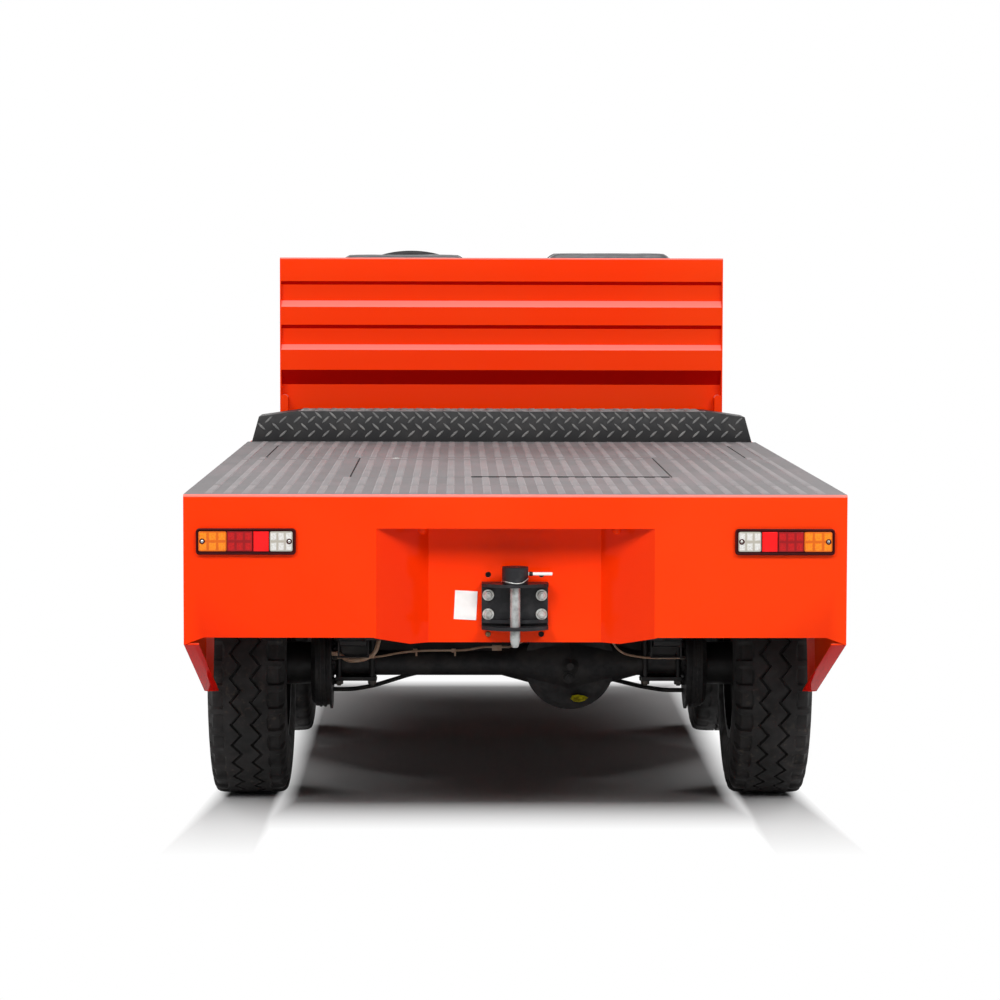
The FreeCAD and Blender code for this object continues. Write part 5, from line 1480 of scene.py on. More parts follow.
    def build_steering_trim(self) -> None:
        """Build kingpin caps and tie-rod nuts."""
        low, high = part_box("front_axle")
        for side, name in ((-1.0, "left"), (1, "right")):
            x = side * 0.56
            cap = lathe([(0, -0.001), (0.022, -0.001), (0.022, 0.003), (0.016, 0.006),
                (0.006, 0.007), (0.0045, 0.014), (0, 0.015)], 24, (x, 0.441, high.z - 0.006))
            self.settle(cap, "kingpin_cap_" + name, Paints.link)
        rod_low, rod_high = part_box("tie_rod")
        nuts = []
        for side in SIDES:
            nuts.append(hex_bolt((side * 0.56, 0.291, rod_high.z - 0.004), "Z", 0.012,
                0.007, 0.012))
            nuts.append(lathe([(0.011, -0.018), (0.0155, -0.018), (0.0155, 0.018), (0.011, 0.018)],
                6, (side * 0.505, 0.291, rod_low.z + 0.0167), "X"))
        self.settle(joined(nuts), "tie_rod_nuts", Paints.link, "tie_rod")


@dataclass
class BatteryTop(SubAssembly):
    """The battery's tray rim, cells, vent caps, posts and link bars, seen under its cover.

    Attributes:
        across: cells across the battery.
        along: cells along it.
        wall: thickness of the tray's wall.
    """

    across: int = 4
    along: int = 6
    wall: float = 0.012

    def build(self) -> None:
        """Build the tray rim, the cells and their fittings."""
        low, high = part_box("battery")
        rim, out = self.wall, 0.001
        sides = [block((*start, high.z - 0.06), (*end, high.z + 0.012), 0.0015) for start,
            end in (((low.x - out, low.y - out), (low.x + rim, high.y + out)),
            ((high.x - rim, low.y - out), (high.x + out, high.y + out)),
            ((low.x + rim, low.y - out), (high.x - rim, low.y + rim)),
            ((low.x + rim, high.y - rim), (high.x - rim, high.y + out)))]
        self.settle(joined(sides), "battery_rim", Paints.frame_paint)
        wide = (high.x - low.x - 2 * rim) / self.across
        deep = (high.y - low.y - 2 * rim) / self.along
        places = [(low.x + rim + wide * (i + 0.5), low.y + rim + deep * (j + 0.5), high.z)
            for i in range(self.across) for j in range(self.along)]
        cell = block((-wide / 2 + 0.0015, -deep / 2 + 0.0015, -0.004),
            (wide / 2 - 0.0015, deep / 2 - 0.0015, 0.007), 0.003)
        self.settle(repeated(cell, shifts(places)), "battery_cells", Paints.plastic)
        cap = turned([(0.016, 0.006), (0.016, 0.01), (0.0135, 0.015), (0.006, 0.0165)], 20)
        self.settle(repeated(cap, shifts(places)), "battery_caps", Paints.white)
        self.build_links(places, wide, deep, high.z)

    def build_links(self, places: Sequence[Triple], wide: float, deep: float, top: float) -> None:
        """Build the bars that link each cell to the next along the battery."""
        posts = [(x + side * wide * 0.3, y, top + 0.006) for x, y, _ in places for side in SIDES]
        post = turned([(0.0075, 0), (0.007, 0.008)], 16)
        self.settle(repeated(post, shifts(posts)), "battery_posts", Paints.link)
        columns, rows = (sorted({place[axis] for place in places}) for axis in (0, 1))
        bars = [(x + (-1) ** index * wide * 0.3, (first + second) / 2, top + 0.0138) for index,
            (first, second) in enumerate(zip(rows, rows[1:])) for x in columns]
        bar = block((-0.008, -deep / 2 - 0.006, -0.002), (0.008, deep / 2 + 0.006, 0.002), 0.0015)
        self.settle(repeated(bar, shifts(bars)), "battery_links", Paints.cable)


# ---------------- cab

class PadKind(Enum):
    """The two kinds of seat pad."""

    CUSHION = "cushion"
    BACKREST = "backrest"


@dataclass
class SeatPad(SubAssembly):
    """A padded vinyl seat pad, blown up as cloth and then given its sewn channels.

    Attributes:
        kind: cushion or backrest.
        inset: how much smaller than the CAD pad the cover starts.
        voxel: size of the cover's mesh.
        steps: how many steps of cloth fill it.
        pressure: how hard it is filled.
        rise: the furthest that the cover may swell.
        channel: depth of a sewn channel.
        channel_width: width of a sewn channel.
        border: how far the outer channels run from the pad's edges.
        rows: where the cross channels run, as shares of the way between the outer ones.
        snug: how much smaller than the CAD pad the filled pad is, each way.
        foot: how far its underside stands off the CAD pad's.
        corner: radius of the pad's long edges.
        round: radius of its corners, seen square on.
        seam: how far the piping runs behind the face, as a share of the pad's thickness.
        passenger_shift: how far the passenger's pads sit inside their CAD place.
        driver_size: the driver's pads' width and height as shares of the passenger's.
    """

    kind: PadKind = PadKind.CUSHION
    inset: float = 0.0075
    voxel: float = 0.0068
    steps: int = 20
    pressure: float = 4.0
    rise: float = 0.011
    channel: float = 0.005
    channel_width: float = 0.0065
    border: float = 0.062
    rows: tuple[float, ...] = (0, 0.33, 0.66, 1)
    snug: float = 0.002
    foot: float = 0.001
    corner: float = 0.022
    round: float = 0.052
    seam: float = 0.3
    passenger_shift: float = -0.006
    driver_size: Pair = (0.985, 0.989)

    def __post_init__(self) -> None:
        """Find the pad, its view and its axes along the face and out of it."""
        flat = self.kind is PadKind.CUSHION
        self.view = View.PLAN if flat else View.FRONT
        self.up, self.out = (1, 2) if flat else (2, 1)
        self.node = "driver_" + self.kind.value
        self.lean = Matrix() if flat else self.leaning()
        upright = self.lean.inverted()
        self.low, self.high = extent([upright @ vertex.co
            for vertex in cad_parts[self.node].data.vertices])

    def leaning(self) -> Matrix:
        """Return the turn that leans an upright backrest as the CAD one leans."""
        low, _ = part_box(self.node)
        foot = Vector((0, low.y, low.z))
        points = [vertex.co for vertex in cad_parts[self.node].data.vertices]
        rear_top = max(points, key=lambda point: point.z - point.y)
        lean = math.atan2(foot.y - rear_top.y, rear_top.z - foot.z)
        there = at(*foot)
        return there @ Matrix.Rotation(lean, 4, "X") @ there.inverted()

    def cover(self) -> Piece:
        """Model the cover before it is filled: a rounded block in an even fine mesh."""
        gap = Vector((self.inset,) * 3)
        start, end = self.low + gap, self.high - gap
        start.z = self.low.z + self.foot
        middle, size = (start + end) / 2, end - start
        corners = rounded_rectangle((middle.x, middle[self.up]),
            (size.x, size[self.up]), self.round)
        piece = outline(corners, self.view, start[self.out], size[self.out], self.corner, 4)
        return changed(piece, "REMESH", mode="VOXEL", voxel_size=self.voxel, use_smooth_shade=True)

    def fill(self, piece: Piece) -> None:
        """Blow the cover up as cloth, hold its foot down and cap how far it moves."""
        before = [vertex.co.copy() for vertex in piece.data.vertices]
        held = piece.vertex_groups.new(name="held")
        held.add([vertex.index for vertex in piece.data.vertices if vertex.co.z < self.low.z
            + 0.009], 1.0, "REPLACE")
        alone(piece)
        cloth = piece.modifiers.new("filled", "CLOTH")
        cloth.settings.use_pressure = True
        cloth.settings.uniform_pressure_force = self.pressure
        cloth.settings.effector_weights.gravity = 0.0
        cloth.settings.vertex_group_mass = "held"
        cloth.settings.quality = 5
        cloth.point_cache.frame_end = self.steps
        for step in range(self.steps):
            bpy.context.scene.frame_set(step + 1)
        bpy.ops.object.modifier_apply(modifier=cloth.name)
        bpy.context.scene.frame_set(1)
        for vertex, start in zip(piece.data.vertices, before):
            shift = vertex.co - start
            if shift.length > self.rise:
                vertex.co = start + shift.normalized() * self.rise
        piece.vertex_groups.clear()

    def fit(self, piece: Piece) -> None:
        """Bring the filled pad back to the size that the seat has room for."""
        gap = Vector((self.snug,) * 3)
        start, end = self.low + gap, self.high - gap
        start.z, end.z = self.low.z + self.foot, self.high.z
        for axis in range(3):
            found = [vertex.co[axis] for vertex in piece.data.vertices]
            least, scale = min(found), (end[axis] - start[axis]) / (max(found) - min(found))
            for vertex in piece.data.vertices:
                vertex.co[axis] = start[axis] + (vertex.co[axis] - least) * scale

    def sewn(self, piece: Piece) -> None:
        """Press the sewn channels and the border seam into the pad's face."""
        changed(piece, "SUBSURF", levels=1, render_levels=1)
        across, half = (self.low.x + self.high.x) / 2, (self.high.x - self.low.x) / 2 - self.border
        start, end = self.low[self.up] + self.border, self.high[self.up] - self.border
        lines = [start + (end - start) * share for share in self.rows]
        normals = [vertex.normal.copy() for vertex in piece.data.vertices]
        for vertex, normal in zip(piece.data.vertices, normals):
            along, side = vertex.co[self.up], abs(vertex.co.x - across)
            if normal[self.out] >= 0.35 and side < half + 0.004 and (start - 0.004 < along < end
                    + 0.004):
                nearest = min(abs(side - half), *(abs(along - line) for line in lines))
                depth = math.exp(-(nearest / self.channel_width) ** 2)
                vertex.co -= normal * depth * self.channel

    def piping(self, piece: Piece) -> Piece:
        """Run a rounded cord along the seam round the pad's sides, on its real surface."""
        size, middle = self.high - self.low, (self.low + self.high) / 2
        level = self.low[self.out] + size[self.out] * (1 - self.seam)
        centre = (middle.x, middle[self.up])
        middle = self.view.point(*centre, level)
        path = []
        for u, v in rounded_rectangle(centre, (size.x + 0.06, size[self.up] + 0.06), 0.06, 8):
            start = self.view.point(u, v, level)
            hit, spot, _, _ = piece.ray_cast(start, (middle - start).normalized())
            if hit:
                path.append(tuple(spot))
        return routed([*path, path[0]], 0.0028, 2)

    def build(self) -> None:
        """Build the driver's pad and its copy on the passenger's side."""
        pad = self.cover()
        self.fill(pad)
        self.fit(pad)
        self.sewn(pad)
        cord = self.piping(pad)
        for piece in (pad, cord):
            moved(piece, self.lean)
        place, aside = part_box(self.node)[0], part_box("passenger_" + self.kind.value)[0]
        beside = at(aside.x - place.x + self.passenger_shift, 0, 0)
        wide, tall = self.driver_size
        foot = at((self.low.x + self.high.x) / 2, 0, place.z)
        smaller = foot @ Matrix.Diagonal((wide, 1, tall, 1)) @ foot.inverted()
        twins = {"passenger": (copied(pad, beside), copied(cord, beside)),
            "driver": (moved(pad, smaller), moved(cord, smaller))}
        for name, (cover, line) in twins.items():
            node = "%s_%s" % (name, self.kind.value)
            self.settle(cover, node + "_pad", Paints.vinyl, CHASSIS, [node], smooth=180)
            self.settle(line, node + "_piping", Paints.thread, smooth=60)


@dataclass
class Dashboard(SubAssembly):
    """Gauges, switches, key and handle on the dashboard, and the column's trim.

    Attributes:
        gauge_places: how far across the two gauges are.
        gauge_radius: their radius.
        switches: how many rocker switches there are.
    """

    gauge_places: Pair = (-0.075, 0.045)
    gauge_radius: float = 0.045
    switches: int = 5

    def face(self, across: float, up: float) -> Matrix:
        """Return the place of a point of the sloping face, with Z pointing out of it."""
        low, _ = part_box("dashboard")
        foot = Vector((across, low.y + 0.03, low.z))
        rise = Vector((0, -0.03, 0.148)).normalized()
        out = Vector((1, 0, 0)).cross(rise)
        turn = Matrix((rise.cross(out), rise, out)).transposed().to_4x4()
        return at(*foot + rise * up) @ turn

    def build(self) -> None:
        """Build the gauges, the switches, the key, the grab handle and the column trim."""
        for index, across in enumerate(self.gauge_places):
            self.build_gauge(across, "gauge_%d" % (index + 1), 0.9 if index else -0.6)
        self.build_switches()
        self.build_handle()
        self.build_column()

    def build_gauge(self, across: float, name: str, swing: float) -> None:
        """Build one gauge: bezel, dial, ticks, numbers, needle and glass."""
        radius, where = self.gauge_radius, self.face(across, 0.075)
        bezel = [(radius - 0.005, -0.001), (radius + 0.004, -0.001), (radius + 0.004, 0.006),
            (radius + 0.001, 0.01), (radius - 0.003, 0.01), (radius - 0.005, 0.006)]
        dial = [(0, 0.0002), (radius - 0.004, 0.0002), (radius - 0.004, 0.0012), (0, 0.0012)]
        glass = [(0, 0.0062), (radius - 0.0046, 0.0062), (radius - 0.0046, 0.0076),
            (radius * 0.5, 0.0084), (0, 0.0087)]
        self.settle(moved(lathe(bezel), where), name + "_bezel", Paints.gloss_plastic)
        self.settle(moved(lathe(dial), where), name + "_dial", Paints.dial)
        marks = []
        for tick in range(11):
            turn = 225 - 27 * tick
            long = 0.0035 if tick % 5 else 0.006
            mark = block((radius - 0.007 - long, -0.0006, 0.0012),
                (radius - 0.007, 0.0006, 0.0016), 0.0001, 1)
            marks.append(moved(mark, spun(turn, "Z")))
            if tick % 5 == 0:
                spot = spun(turn, "Z") @ Vector((radius - 0.019, 0, 0.0012))
                marks.append(self.number(str(tick * 10), spot))
        self.settle(moved(joined(marks), where), name + "_marks", Paints.print_white)
        needle = outline([(-0.006, -0.0015), (radius - 0.014, -0.0004), (radius - 0.014, 0.0004),
            (-0.006, 0.0015)], View.PLAN, 0.0022, 0.001, 0.0002)
        hub = lathe([(0, 0.0012), (0.0042, 0.0012), (0.0038, 0.0042), (0, 0.0046)], 20)
        hand = joined([moved(needle, Matrix.Rotation(math.pi / 2 + swing, 4, "Z")), hub])
        self.settle(moved(hand, where), name + "_needle", Paints.bright_lens)
        self.settle(moved(lathe(glass), where), name + "_glass", Paints.glass)

    def number(self, word: str, spot: Vector) -> Piece:
        """Model one dial number as a thin mesh."""
        clear()
        bpy.ops.object.text_add(location=spot)
        text = bpy.context.object
        text.data.body = word
        text.data.size = 0.011
        text.data.align_x = text.data.align_y = "CENTER"
        text.data.extrude = 0.0002
        alone(text)
        bpy.ops.object.convert(target="MESH")
        return fixed(bpy.context.object)

    def build_switches(self) -> None:
        """Build a row of rocker switches, the key switch and three small lights."""
        frames, rockers = [], []
        for index in range(self.switches):
            where = self.face(0.165 + 0.036 * index, 0.075)
            shell = outline(rounded_rectangle((0, 0), (0.028, 0.046), 0.004), View.PLAN, -0.001,
                0.004, 0.0006)
            frames.append(moved(shell, where))
            rocker = block((-0.01, -0.019, 0.002), (0.01, 0.019, 0.0065), 0.0012)
            tilt = spun(7 if index % 2 else -7, "X")
            rockers.append(moved(rocker, where @ tilt))
        self.settle(joined(frames), "switch_frames", Paints.gloss_plastic)
        self.settle(joined(rockers), "switch_rockers", Paints.plastic)
        where = self.face(0.39, 0.07)
        barrel = turned([(0.016, -0.001), (0.016, 0.004), (0.013, 0.008), (0.0095, 0.009)], 32)
        blade = block((-0.0012, -0.009, 0.008), (0.0012, 0.009, 0.026), 0.0005, 1)
        bow = block((-0.0022, -0.012, 0.024), (0.0022, 0.012, 0.044), 0.002)
        self.settle(moved(joined([barrel, blade]), where), "key_switch", Paints.zinc)
        self.settle(moved(bow, where), "key_bow", Paints.plastic)
        for index, finish in enumerate((Paints.amber, Paints.bright_lens, Paints.clear_lens)):
            light = lathe([(0, -0.0005), (0.0065, -0.0005), (0.0065, 0.002), (0.004, 0.0042),
                (0, 0.005)], 20)
            self.settle(moved(light, self.face(-0.015, 0.028 + 0.02 * index)),
                "dash_light_%d" % (index + 1), finish)

    def build_handle(self) -> None:
        """Build the passenger's grab handle on top of the dashboard."""
        low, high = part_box("dashboard")
        y, z = low.y + 0.06, high.z - 0.004
        handle = routed([(0.34, y, z - 0.006), (0.34, y, z + 0.03), (0.362, y, z + 0.044),
            (0.4, y, z + 0.044), (0.52, y, z + 0.044), (0.558, y, z + 0.044), (0.58, y, z + 0.03),
            (0.58, y, z - 0.006)], 0.0085, 5)
        feet = [turned([(0.018, -0.004), (0.018, 0.002), (0.012, 0.006)], 28, (x, y, z))
            for x in (0.34, 0.58)]
        self.settle(joined([handle, *feet]), "grab_handle", Paints.plastic, smooth=50)

    def build_column(self) -> None:
        """Build the wheel's horn pad, the stalk and the column boot."""
        where = at(*centre_of("steering_wheel")) @ spun(28, "X")
        pad = lathe([(0, 0.01), (0.046, 0.01), (0.05, 0.016), (0.046, 0.024), (0.03, 0.029),
            (0.026, 0.027), (0.024, 0.03), (0, 0.034)], 40)
        self.settle(moved(pad, where), "horn_pad", Paints.gloss_plastic, "steering_wheel")
        shroud = lathe([(0.0245, -0.25), (0.04, -0.24), (0.042, -0.115), (0.036, -0.068),
            (0.03, -0.058), (0.0245, -0.056)], 32)
        stalk = rod((0.036, 0, -0.1), (0.165, 0, -0.07), 0.0048, 16)
        knob = lathe([(0, -0.012), (0.006, -0.012), (0.0085, 0), (0.006, 0.01), (0, 0.013)], 16,
            (0.17, 0, -0.069), "X")
        self.settle(moved(joined([shroud, stalk, knob]), where), "column_shroud", Paints.plastic)


@dataclass
class CabFloor(SubAssembly):
    """Floor mat, pedal rubbers, lever boot and the seat base's hatch panels."""

    rib_pitch: float = 0.022

    def build(self) -> None:
        """Build the mat, the pedal rubbers, the lever's boot and the seat-base trim."""
        low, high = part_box("cab_floor")
        start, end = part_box("seat_base")[1].y + 0.01, high.y - 0.03
        mat = outline(rounded_rectangle((0, (start + end) / 2), (1.47, end - start), 0.03),
            View.PLAN, high.z - 0.0002, 0.005, 0.0012)
        rib = block((-0.003, start + 0.02, high.z + 0.004),
            (0.003, end - 0.02, high.z + 0.0075), 0.0012, 1)
        count = int(1.4 / self.rib_pitch)
        ribs = repeated(rib, shifts(((index - count / 2 + 0.5) * self.rib_pitch, 0, 0)
            for index in range(count)))
        self.settle(joined([mat, ribs]), "floor_mat", Paints.mat)
        self.build_pedals()
        self.build_lever()
        self.build_base_trim()

    def build_pedals(self) -> None:
        """Build a ribbed rubber on each pedal."""
        low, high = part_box("pedals")
        pads = []
        for x in (-0.36, -0.19):
            pads.append(block((x - 0.04, low.y - 0.006, low.z - 0.002),
                (x + 0.04, low.y + 0.001, low.z + 0.062), 0.003))
            for rib in range(6):
                z = low.z + 0.006 + rib * 0.0095
                pads.append(block((x - 0.034, low.y - 0.009, z),
                    (x + 0.034, low.y - 0.005, z + 0.004), 0.001, 1))
        self.settle(joined(pads), "pedal_rubbers", Paints.mat)

    def build_lever(self) -> None:
        """Build the parking lever's folded boot and its flange."""
        low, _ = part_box("parking_lever")
        y = low.y + 0.066
        rings = []
        radius, z = 0.034, low.z + 0.034
        for fold in range(5):
            rings += [(radius, z), (radius - 0.006, z + 0.006)]
            radius, z = radius - 0.0045, z + 0.009
        profile = [(0, low.z + 0.034), *rings, (0, z)]
        boot = lathe(profile, 32, (0.022, y, 0))
        self.settle(boot, "lever_boot", Paints.cable)
        flange = outline(rounded_rectangle((0.022, low.y + 0.07), (0.072, 0.17), 0.012), View.PLAN,
            low.z - 0.0002, 0.0032, 0.001)
        self.settle(flange, "lever_flange", Paints.plastic)

    def build_base_trim(self) -> None:
        """Build the seat base's front hatch panels with their catches."""
        low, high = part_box("seat_base")
        panels, catches = [], []
        for side in SIDES:
            x = side * 0.36
            panel = outline(rounded_rectangle((x, 0.66), (0.52, 0.26), 0.02), View.FRONT,
                high.y - 0.0002, 0.003, 0.001)
            panels.append(panel)
            catches.append(turned([(0.016, 0.0025), (0.016, 0.006), (0.012, 0.009)], 28,
                (x, high.y, 0.755), "Y"))
        self.settle(joined(panels), "stowage_doors", Paints.red)
        self.settle(joined(catches), "stowage_catches", Paints.gloss_plastic)


@dataclass
class FrontTrim(SubAssembly):
    """Headlights, indicators, grille, service panel and bumper strip on the cowl."""

    louvres: int = 7

    def build(self) -> None:
        """Build everything on the cowl's front."""
        self.build_headlights()
        self.build_indicators()
        self.build_grille()
        self.build_bumper()

    def build_headlights(self) -> None:
        """Build each headlight's bezel, reflector, lens and bulb."""
        low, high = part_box("headlights")
        spot = Vector((0.59, low.y, (low.z + high.z) / 2))
        radius = (high.z - low.z) / 2
        bezel = lathe([(radius - 0.016, 0), (radius, 0), (radius, 0.016), (radius - 0.004, 0.024),
            (radius - 0.012, 0.0265), (radius - 0.016, 0.022)], 64, spot, "Y")
        self.settle(both_sides(bezel), "headlight_bezels", Paints.chrome,
            stands_for=["headlights"])
        bowl = lathe([(0, 0.0004), (0.03, 0.0008), (0.055, 0.006), (radius - 0.0155, 0.019),
            (radius - 0.0155, 0), (0, 0)], 64, spot, "Y")
        self.settle(both_sides(bowl), "headlight_bowls", Paints.chrome)
        bulb = lathe([(0, 0.001), (0.014, 0.001), (0.014, 0.01), (0.01, 0.016), (0, 0.017)],
            32, spot, "Y")
        self.settle(both_sides(bulb), "headlight_bulbs", Paints.clear_lens)
        lens = lathe([(0, 0.0195), (radius - 0.016, 0.0195), (radius - 0.016, 0.0225),
            (0.055, 0.0265), (0.03, 0.0285), (0, 0.0292)], 64, spot, "Y")
        self.settle(both_sides(lens), "headlight_lenses", Paints.glass)

    def build_indicators(self) -> None:
        """Build an amber lamp in a black base outside each headlight."""
        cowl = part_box("front_cowl")[1].y
        base = outline(rounded_rectangle((0.59, 0.6), (0.13, 0.06), 0.01), View.FRONT,
            cowl - 0.0002, 0.01, 0.0015)
        lens = outline(rounded_rectangle((0.59, 0.6), (0.116, 0.046), 0.007), View.FRONT, cowl
            + 0.008, 0.014, 0.005, 3)
        self.settle(both_sides(base), "indicator_bases", Paints.gloss_plastic)
        self.settle(both_sides(lens), "indicator_lenses", Paints.amber)

    def build_grille(self) -> None:
        """Build the louvred vent panel in the middle of the cowl."""
        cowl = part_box("front_cowl")[1].y
        panel = outline(rounded_rectangle((0, 0.69), (0.6, 0.26), 0.025), View.FRONT,
            cowl - 0.0002, 0.0032, 0.001)
        louvre = outline([(0, 0), (0.014, 0.004), (0.0145, 0.0065), (0, 0.018)], View.SIDE,
            -0.23, 0.46, 0.0008)
        blades = repeated(louvre, shifts((0, cowl + 0.0028, 0.59 + 0.028 * index)
            for index in range(self.louvres)))
        bolts = repeated(hex_bolt((0, 0, 0), "Y", 0.008, 0.005, 0.01),
            shifts((x, cowl + 0.003, z) for x in (-0.275, 0.275) for z in (0.59, 0.79)))
        self.settle(panel, "service_panel", Paints.red)
        self.settle(blades, "cowl_louvres", Paints.frame_paint)
        self.settle(bolts, "panel_bolts", Paints.zinc)

    def build_bumper(self) -> None:
        """Build the rubber strip and the bolts on the bumper."""
        low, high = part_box("front_bumper")
        middle = (low.z + high.z) / 2
        strip = outline([(0, -0.02), (0.006, -0.018), (0.0085, -0.008), (0.0085, 0.008),
            (0.006, 0.018), (0, 0.02)], View.SIDE, -0.7, 1.4, 0.001)
        moved(strip, at(0, high.y - 0.0005, middle))
        self.settle(strip, "bumper_strip", Paints.mat)
        bolts = repeated(hex_bolt((0, 0, 0), "Y", 0.013, 0.008, 0.016),
            shifts((x, high.y, middle + z) for x in (-0.4, 0.4) for z in (-0.042, 0.042)))
        self.settle(bolts, "bumper_bolts", Paints.zinc)
CAD_FINISHES: dict[str, Finish] = {"deck_plate": Paints.deck, "hatch_lid": Paints.deck,
    "battery_cover": Paints.deck, "chassis_frame": Paints.frame_paint,
    "cab_floor": Paints.frame_paint, "dashboard": Paints.plastic,
    "steering_column": Paints.frame_paint, "steering_wheel": Paints.plastic,
    "front_bumper": Paints.frame_paint, "pedals": Paints.frame_paint,
    "parking_lever": Paints.plastic, "tow_bracket": Paints.bracket, "rear_axle": Paints.axle,
    "drive_motor": Paints.motor, "battery": Paints.battery, "rear_springs": Paints.frame_paint,
    "front_springs": Paints.frame_paint, "front_axle": Paints.axle, "knuckle_left": Paints.axle,
    "knuckle_right": Paints.axle, "tie_rod": Paints.link, "parking_brake_cables": Paints.cable,
    "brake_pipes": Paints.copper, "rim_rear_left": Paints.rim, "rim_rear_right": Paints.rim,
    "rim_front_left": Paints.rim, "rim_front_right": Paints.rim}


# ---------------- carried-over parts

def dress_nodes() -> None:
    """Give every CAD node its finish, those that a piece stands for included."""
    for name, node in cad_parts.items():
        finish = CAD_FINISHES.get(name, Paints.red)
        for place in node.material_slots:
            place.material = finish.material()
        if not node.material_slots:
            node.data.materials.append(finish.material())


# ---------------- studio

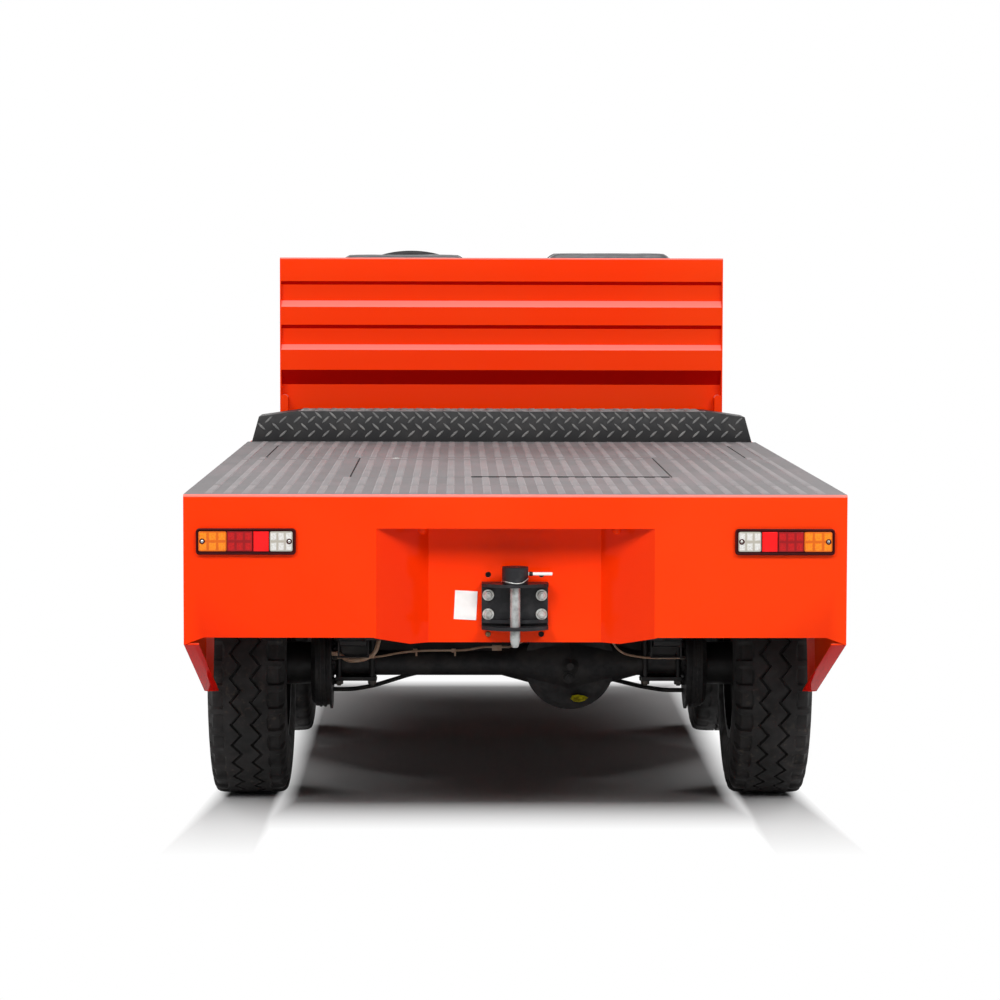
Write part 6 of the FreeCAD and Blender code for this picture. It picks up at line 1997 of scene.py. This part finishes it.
@dataclass
class Studio:
    """Pale floor, white surroundings, soft light and the camera behind the truck.

    Attributes:
        eye: where the camera is.
        lens: its focal length in millimetres.
        down: how far it looks down, in degrees.
        aside: how far it looks to the right.
        roll: how far it is turned about its own line of sight.
        sky: strength of the light from straight above.
        floor: half the size of the floor.
        inner: between which distances from the middle the shadow turns white.
        near: between which distances behind the truck's middle it does.
        streak: the same, for the painted tyre shadows that trail behind the wheels.
    """

    eye: Triple = (-0.141, -9.85, 1.422)
    lens: float = 119.95
    down: float = 3.93
    aside: float = 0.738
    roll: float = 0.12
    sky: float = 0.28
    floor: float = 30.0
    inner: Pair = (0.57, 0.66)
    near: Pair = (0.97, 1.42)
    streak: Pair = (0.92, 1.8)

    def build(self) -> None:
        """Set up the world, the floor, the lamps and the camera."""
        bpy.context.scene.view_settings.view_transform = "Standard"
        self.build_world()
        self.build_floor()
        self.build_lamps()
        self.build_camera()

    def shown(self, sheet: NodeSheet) -> Socket:
        """Return 1 for what the camera, gloss and glass show and 0 for what lights the truck."""
        paths = sheet.add("LightPath", {}).outputs
        also = sheet.sum(paths["Is Glossy Ray"], paths["Is Transmission Ray"], "MAXIMUM")
        return sheet.sum(paths["Is Camera Ray"], also, "MAXIMUM")

    def build_world(self) -> None:
        """Light the truck from above, and show white to the camera, to gloss and to glass."""
        world = bpy.data.worlds.new("studio")
        bpy.context.scene.world = world
        sheet = NodeSheet(world)
        height = sheet.add("SeparateXYZ", {"Vector": sheet.direction}).outputs["Z"]
        light = sheet.spread(height, 0.0, 0.8, 0.0, self.sky)
        sheet.set("Color", (1, 1, 1, 1))
        sheet.set("Strength", sheet.between(self.shown(sheet), light, 1.0))

    def build_floor(self) -> None:
        """Lay the pale floor: it keeps the truck's shadow, paints tyre shadows and turns white."""
        clear()
        bpy.ops.mesh.primitive_plane_add(size=self.floor * 2, location=(0, 0, 0))
        floor = fixed(bpy.context.object)
        floor.name = "floor"
        sheet = NodeSheet(bpy.data.materials.new("floor_pale"))
        sheet.set("Base Color", (0.66, 0.66, 0.66, 1))
        sheet.set("Roughness", 0.9)
        sheet.set("Specular IOR Level", 0.1)
        place = sheet.add("SeparateXYZ", {"Vector": sheet.place}).outputs
        across = sheet.sum(place["X"], 0.0, "ABSOLUTE")
        behind = sheet.sum(place["Y"], -1.0, "MULTIPLY")
        ahead = sheet.spread(place["Y"], 1.5, 1.68)
        middle = sheet.sum(sheet.spread(across, *self.inner),
            sheet.spread(behind, *self.near), "MAXIMUM")
        # Behind the wheels these masks draw painted tyre shadows: streaks where the floor stays
        # lit grey instead of turning white.
        along = sheet.spread(behind, *self.streak)
        inside = sheet.sum(across, sheet.spread(behind, 0.78, 1.78, 0.0, 0.06), "SUBTRACT")
        edges = sheet.sum(sheet.spread(inside, 0.63, 0.58),
            sheet.spread(inside, 0.755, 0.805), "MAXIMUM")
        before = sheet.spread(behind, 0.8, 0.7)
        tail = sheet.sum(sheet.sum(along, edges, "MAXIMUM"), before, "MAXIMUM")
        share = sheet.sum(sheet.sum(middle, tail, "MINIMUM"), ahead, "MAXIMUM")
        glow = sheet.add("Emission", {"Strength": 1.0})
        blend = sheet.add("MixShader", {0: sheet.sum(share, self.shown(sheet), "MULTIPLY"),
            1: sheet.shader.outputs[0], 2: glow.outputs[0]})
        sheet.links.new(blend.outputs[0], sheet.nodes["Material Output"].inputs["Surface"])
        floor.data.materials.append(sheet.material)

    def build_lamps(self) -> None:
        """Hang a long soft lamp over the truck, two behind it and two weaker ones in front."""
        rear, front, square = (0, -1.4, 0.7), (0, 1.4, 0.8), (3, 3)
        for name, place, aim, size, power in (("top_lamp", (0, -0.7, 6.5), (0, -0.7, 0.6),
                (2.2, 3.4), 140), ("rear_left_lamp", (-3.4, -8.4, 5.8), rear, square, 428),
                ("rear_right_lamp", (3.4, -8.4, 5.8), rear, square, 428),
                ("front_left_lamp", (-5.0, 7.5, 4.6), front, square, 300),
                ("front_right_lamp", (5, 7.5, 4.6), front, square, 300)):
            light = bpy.data.lights.new(name, "AREA")
            light.shape = "RECTANGLE"
            light.size, light.size_y = size
            light.energy = power
            lamp = bpy.data.objects.new(name, light)
            lamp.location = place
            lamp.rotation_euler = (Vector(aim) - Vector(place)).to_track_quat("-Z", "Y").to_euler()
            bpy.context.scene.collection.objects.link(lamp)

    def build_camera(self) -> None:
        """Place the camera behind the truck, a little above the deck."""
        camera = bpy.data.cameras.new("camera")
        camera.lens = self.lens
        camera.sensor_width = 36.0
        camera.clip_end = 200.0
        eye = bpy.data.objects.new("camera", camera)
        turn = spun(-self.aside, "Z") @ spun(90 - self.down, "X") @ spun(self.roll, "Z")
        eye.matrix_world = at(*self.eye) @ turn
        bpy.context.scene.collection.objects.link(eye)
        bpy.context.scene.camera = eye


def main() -> None:
    """Build the studio and every sub-assembly in order."""
    logging.basicConfig(level=logging.INFO, format="%(name)s: %(message)s")
    Studio().build()
    dress_nodes()
    for group in (Bodywork(), LoadDeck(), KickPlate(), TailLamps(), Coupling(),
            Tyre(TreadKind.ZIGZAG), Tyre(TreadKind.RIBBED), WheelTrim(), RunningGear(),
            BatteryTop(), SeatPad(PadKind.CUSHION), SeatPad(PadKind.BACKREST), Dashboard(),
            CabFloor(), FrontTrim()):
        group.build()
        log.info("%s is built", type(group).__name__)


if __name__ == "__main__":
    main()
